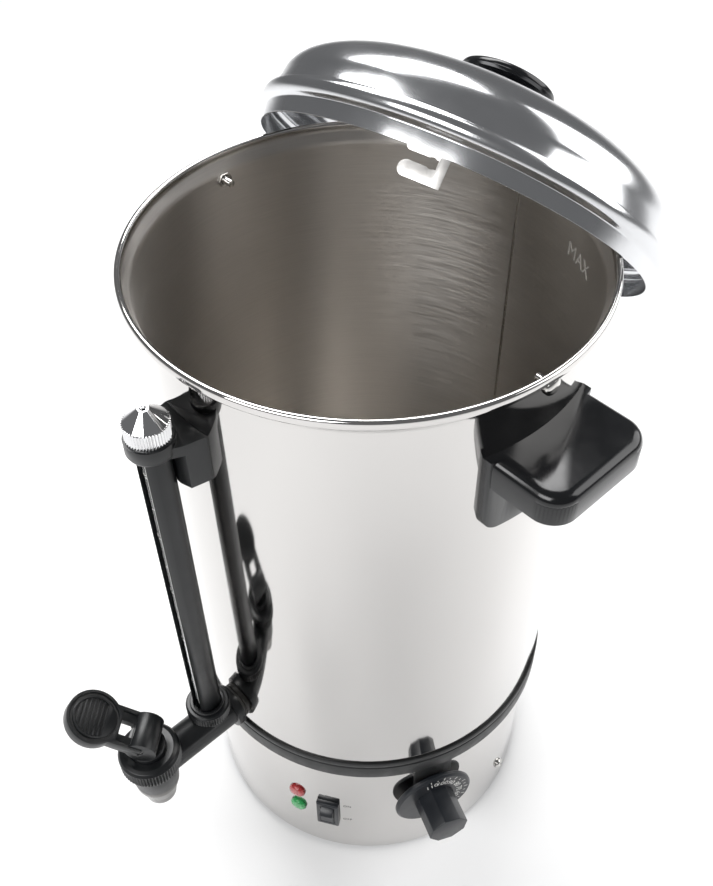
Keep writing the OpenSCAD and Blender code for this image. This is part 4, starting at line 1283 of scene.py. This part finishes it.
@dataclass
class Lid:
    """The lift-off lid, which leans on the rim at rest."""

    centre: Point = (-18.5, 77.11, 390.54)
    tilt: float = 47.48
    bearing: float = -167.17
    sheet: float = SHEET
    flange_r: float = 108.0
    flange_h: float = 8.0
    bead_r: float = 112.0
    bead_tube: float = 5.0
    bead_z: float = 13.4
    bead_low: float = -60.0
    bead_high: float = 42.0
    bead_steps: int = 24
    dome_r: float = 107.0
    dome_z: float = 24.0
    dome_power: float = 2.2
    dome_steps: int = 40
    crown: float = 59.0
    knob_r: float = 26.0
    knob_top: float = 76.0
    knob_h: float = 7.0
    knob_dome: float = 3.6
    knob_gap: float = 0.02
    stem_r: float = 9.0

    def stand(self) -> Matrix:
        """Returns the lid's place: its own axis is Z and its edge lies at zero."""
        about = Matrix.Rotation(math.radians(self.bearing), 4, "Z")
        lean = Matrix.Rotation(math.radians(self.tilt), 4, "X")
        return Matrix.Translation(Vector(self.centre) * MM) @ (about @ lean)

    def dome(self, inset: float) -> Outline:
        """Draws the dome's curve, a superellipse, from its foot to the crown.

        Args:
            inset: how far the curve is drawn in, in millimetres.

        Returns:
            The curve's points.
        """
        r, h = self.dome_r - inset, self.crown - self.dome_z - inset
        power = 2 / self.dome_power
        turns = [math.pi / 2 * i / self.dome_steps for i in range(self.dome_steps)]
        curve = [(r * math.cos(a) ** power, self.dome_z + h * math.sin(a) ** power) for a in turns]
        return curve + [(0, self.dome_z + h)]

    def bulge(self, tube: float) -> Outline:
        """Returns the rolled bead's arc for a tube of a radius."""
        mid = self.bead_r - self.bead_tube
        return arc(mid, self.bead_z, tube, self.bead_low, self.bead_high, self.bead_steps)

    def shell(self) -> None:
        """Builds the pressed shell: flange, rolled bead and dome, polished all over."""
        belly, hollow = self.bulge(self.bead_tube), self.bulge(self.bead_tube - self.sheet)
        crest, lining = self.dome(0), self.dome(self.sheet)
        foot = self.flange_r - self.sheet
        outer = (fillet([(foot, 0, 0), (self.flange_r, 0, 0.2), (self.flange_r, self.flange_h, 0.8),
                         belly[0] + (0,)], 4)
                 + belly[1:-1]
                 + fillet([belly[-1] + (0,), (self.dome_r + 1.6, self.bead_z + 4.0, 1.0),
                           crest[0] + (0,)], 5)
                 + crest[1:])
        inner = (lining[::-1] + [(self.dome_r + 1.0, self.bead_z + 3.6)] + hollow[::-1]
                 + [(foot, self.flange_h + 0.2)])
        bm = place(turned(inner + outer, ROUND, closed=False), self.stand())
        piece(bm, "lid_shell_dressed", "lid", LID_MIRROR, stands_for=("lid_shell",))

    def knob(self) -> None:
        """Builds the moulded knob with its waisted stem and soft edge."""
        low, edge = self.crown + self.knob_gap, self.knob_top - self.knob_h
        r, stem = self.knob_r, self.stem_r
        outline = fillet([
            (0, low, 0), (stem + 0.5, low, 0.3), (stem, low + 2.5, 1), (stem + 1.5, edge - 3, 3),
            (r - 6, edge - 1.2, 3), (r - 1.2, edge, 0.8), (r, edge + 1.4, 0.8), (r, edge + 2.8, 1.2)])
        brow = edge + self.knob_h - self.knob_dome
        turns = [math.radians(90 * i / 16) for i in range(1, 16)]
        top = [((r - 0.4) * math.cos(a), brow + self.knob_dome * math.sin(a)) for a in turns]
        bm = turned(outline + top + [(0, edge + self.knob_h)], 128, closed=False)
        piece(place(bm, self.stand()), "lid_knob_dressed", "lid", HANDLE_BLACK,
              stands_for=("lid_knob",))

    def build(self) -> None:
        """Builds every piece of the lid."""
        self.shell()
        self.knob()
        edged_copy("lid_brackets", HOOK_STEEL, 0.15)
        edged_copy("lid_knob_washer", PLATED, 0.1)
        edged_copy("lid_knob_screw", PLATED, 0.15)


# ---------------------------------------------------------------- studio


@dataclass(frozen=True)
class Softbox:
    """A soft light: its place, its width and height in metres, and its power in watts."""

    name: str
    spot: Point
    size: tuple[float, float]
    watts: float

    def hang(self, aim: Point) -> None:
        """Hangs the light so that it faces a point.

        Args:
            aim: the point, in metres.
        """
        data = bpy.data.lights.new(self.name, "AREA")
        data.shape = "RECTANGLE"
        data.size, data.size_y = self.size
        data.energy = self.watts
        made = bpy.data.objects.new(self.name, data)
        look = (Vector(aim) - Vector(self.spot)).to_track_quat("-Z", "Y")
        made.matrix_world = Matrix.Translation(self.spot) @ look.to_matrix().to_4x4()
        bpy.context.scene.collection.objects.link(made)


@dataclass
class Studio:
    """The photographer's table: a pale floor, soft light and the camera."""

    eye: Point = (285.07, -270.53, 692.64)
    right: Point = (0.68354, 0.72985, -0.00932)
    up: Point = (-0.52065, 0.49649, 0.69457)
    focal_px: float = 1027.7
    image_h: int = 886
    sensor_mm: float = 36.0
    nearest: float = 0.01
    farthest: float = 50.0
    floor_half: float = 8.0
    floor_colour: str = "#F7F7F7"
    floor_roughness: float = 0.9
    room_colour: str = "#C9CACC"
    room_light: float = 0.3
    aim: Point = (0, 0, 0.25)
    # The first two light the lid's dome at its left and right, the third the wall and the black parts.
    softboxes: tuple[Softbox, ...] = (
        Softbox("left", (-0.78, 0.45, 1.62), (1.4, 0.8), 31),
        Softbox("right", (0.78, 1.25, 1.08), (1.7, 1.2), 19),
        Softbox("front", (0.3, -2.0, 1.9), (1.8, 1.2), 48))

    def camera(self) -> None:
        """Stands the camera where the photograph was taken from."""
        data = bpy.data.cameras.new("camera")
        data.sensor_fit = "VERTICAL"
        data.sensor_height = self.sensor_mm
        data.lens = self.focal_px * self.sensor_mm / self.image_h
        data.clip_start, data.clip_end = self.nearest, self.farthest
        made = bpy.data.objects.new("camera", data)
        x, y = Vector(self.right).normalized(), Vector(self.up).normalized()
        z = x.cross(y).normalized()
        y = z.cross(x)
        aimed = Matrix((x, y, z)).transposed().to_4x4()
        made.matrix_world = Matrix.Translation(Vector(self.eye) * MM) @ aimed
        bpy.context.scene.collection.objects.link(made)
        bpy.context.scene.camera = made

    def floor(self) -> None:
        """Lays the pale floor."""
        mesh = bpy.data.meshes.new("floor")
        bm = bmesh.new()
        bmesh.ops.create_grid(bm, x_segments=1, y_segments=1, size=self.floor_half)
        bm.to_mesh(mesh)
        bm.free()
        mesh.materials.append(Finish("studio_floor", self.floor_colour, self.floor_roughness).material())
        made = bpy.data.objects.new("floor", mesh)
        bpy.context.scene.collection.objects.link(made)

    def world(self) -> None:
        """Fills the room with an even, pale light."""
        world = bpy.data.worlds.new("studio")
        world.use_nodes = True
        background = world.node_tree.nodes["Background"]
        background.inputs["Color"].default_value = linear(self.room_colour)
        background.inputs["Strength"].default_value = self.room_light
        bpy.context.scene.world = world
        bpy.context.scene.view_settings.view_transform = "Standard"

    def build(self) -> None:
        """Sets up the whole studio."""
        self.camera()
        self.floor()
        for box in self.softboxes:
            box.hang(self.aim)
        self.world()


def main() -> None:
    """Builds the dressed urn and its studio."""
    logging.basicConfig(level=logging.INFO, format="%(name)s: %(message)s")
    Studio().build()
    for group in (Tank(), Base(), Controls(), Handles(), Tap(), Gauge(), Lid()):
        group.build()


if __name__ == "__main__":
    main()
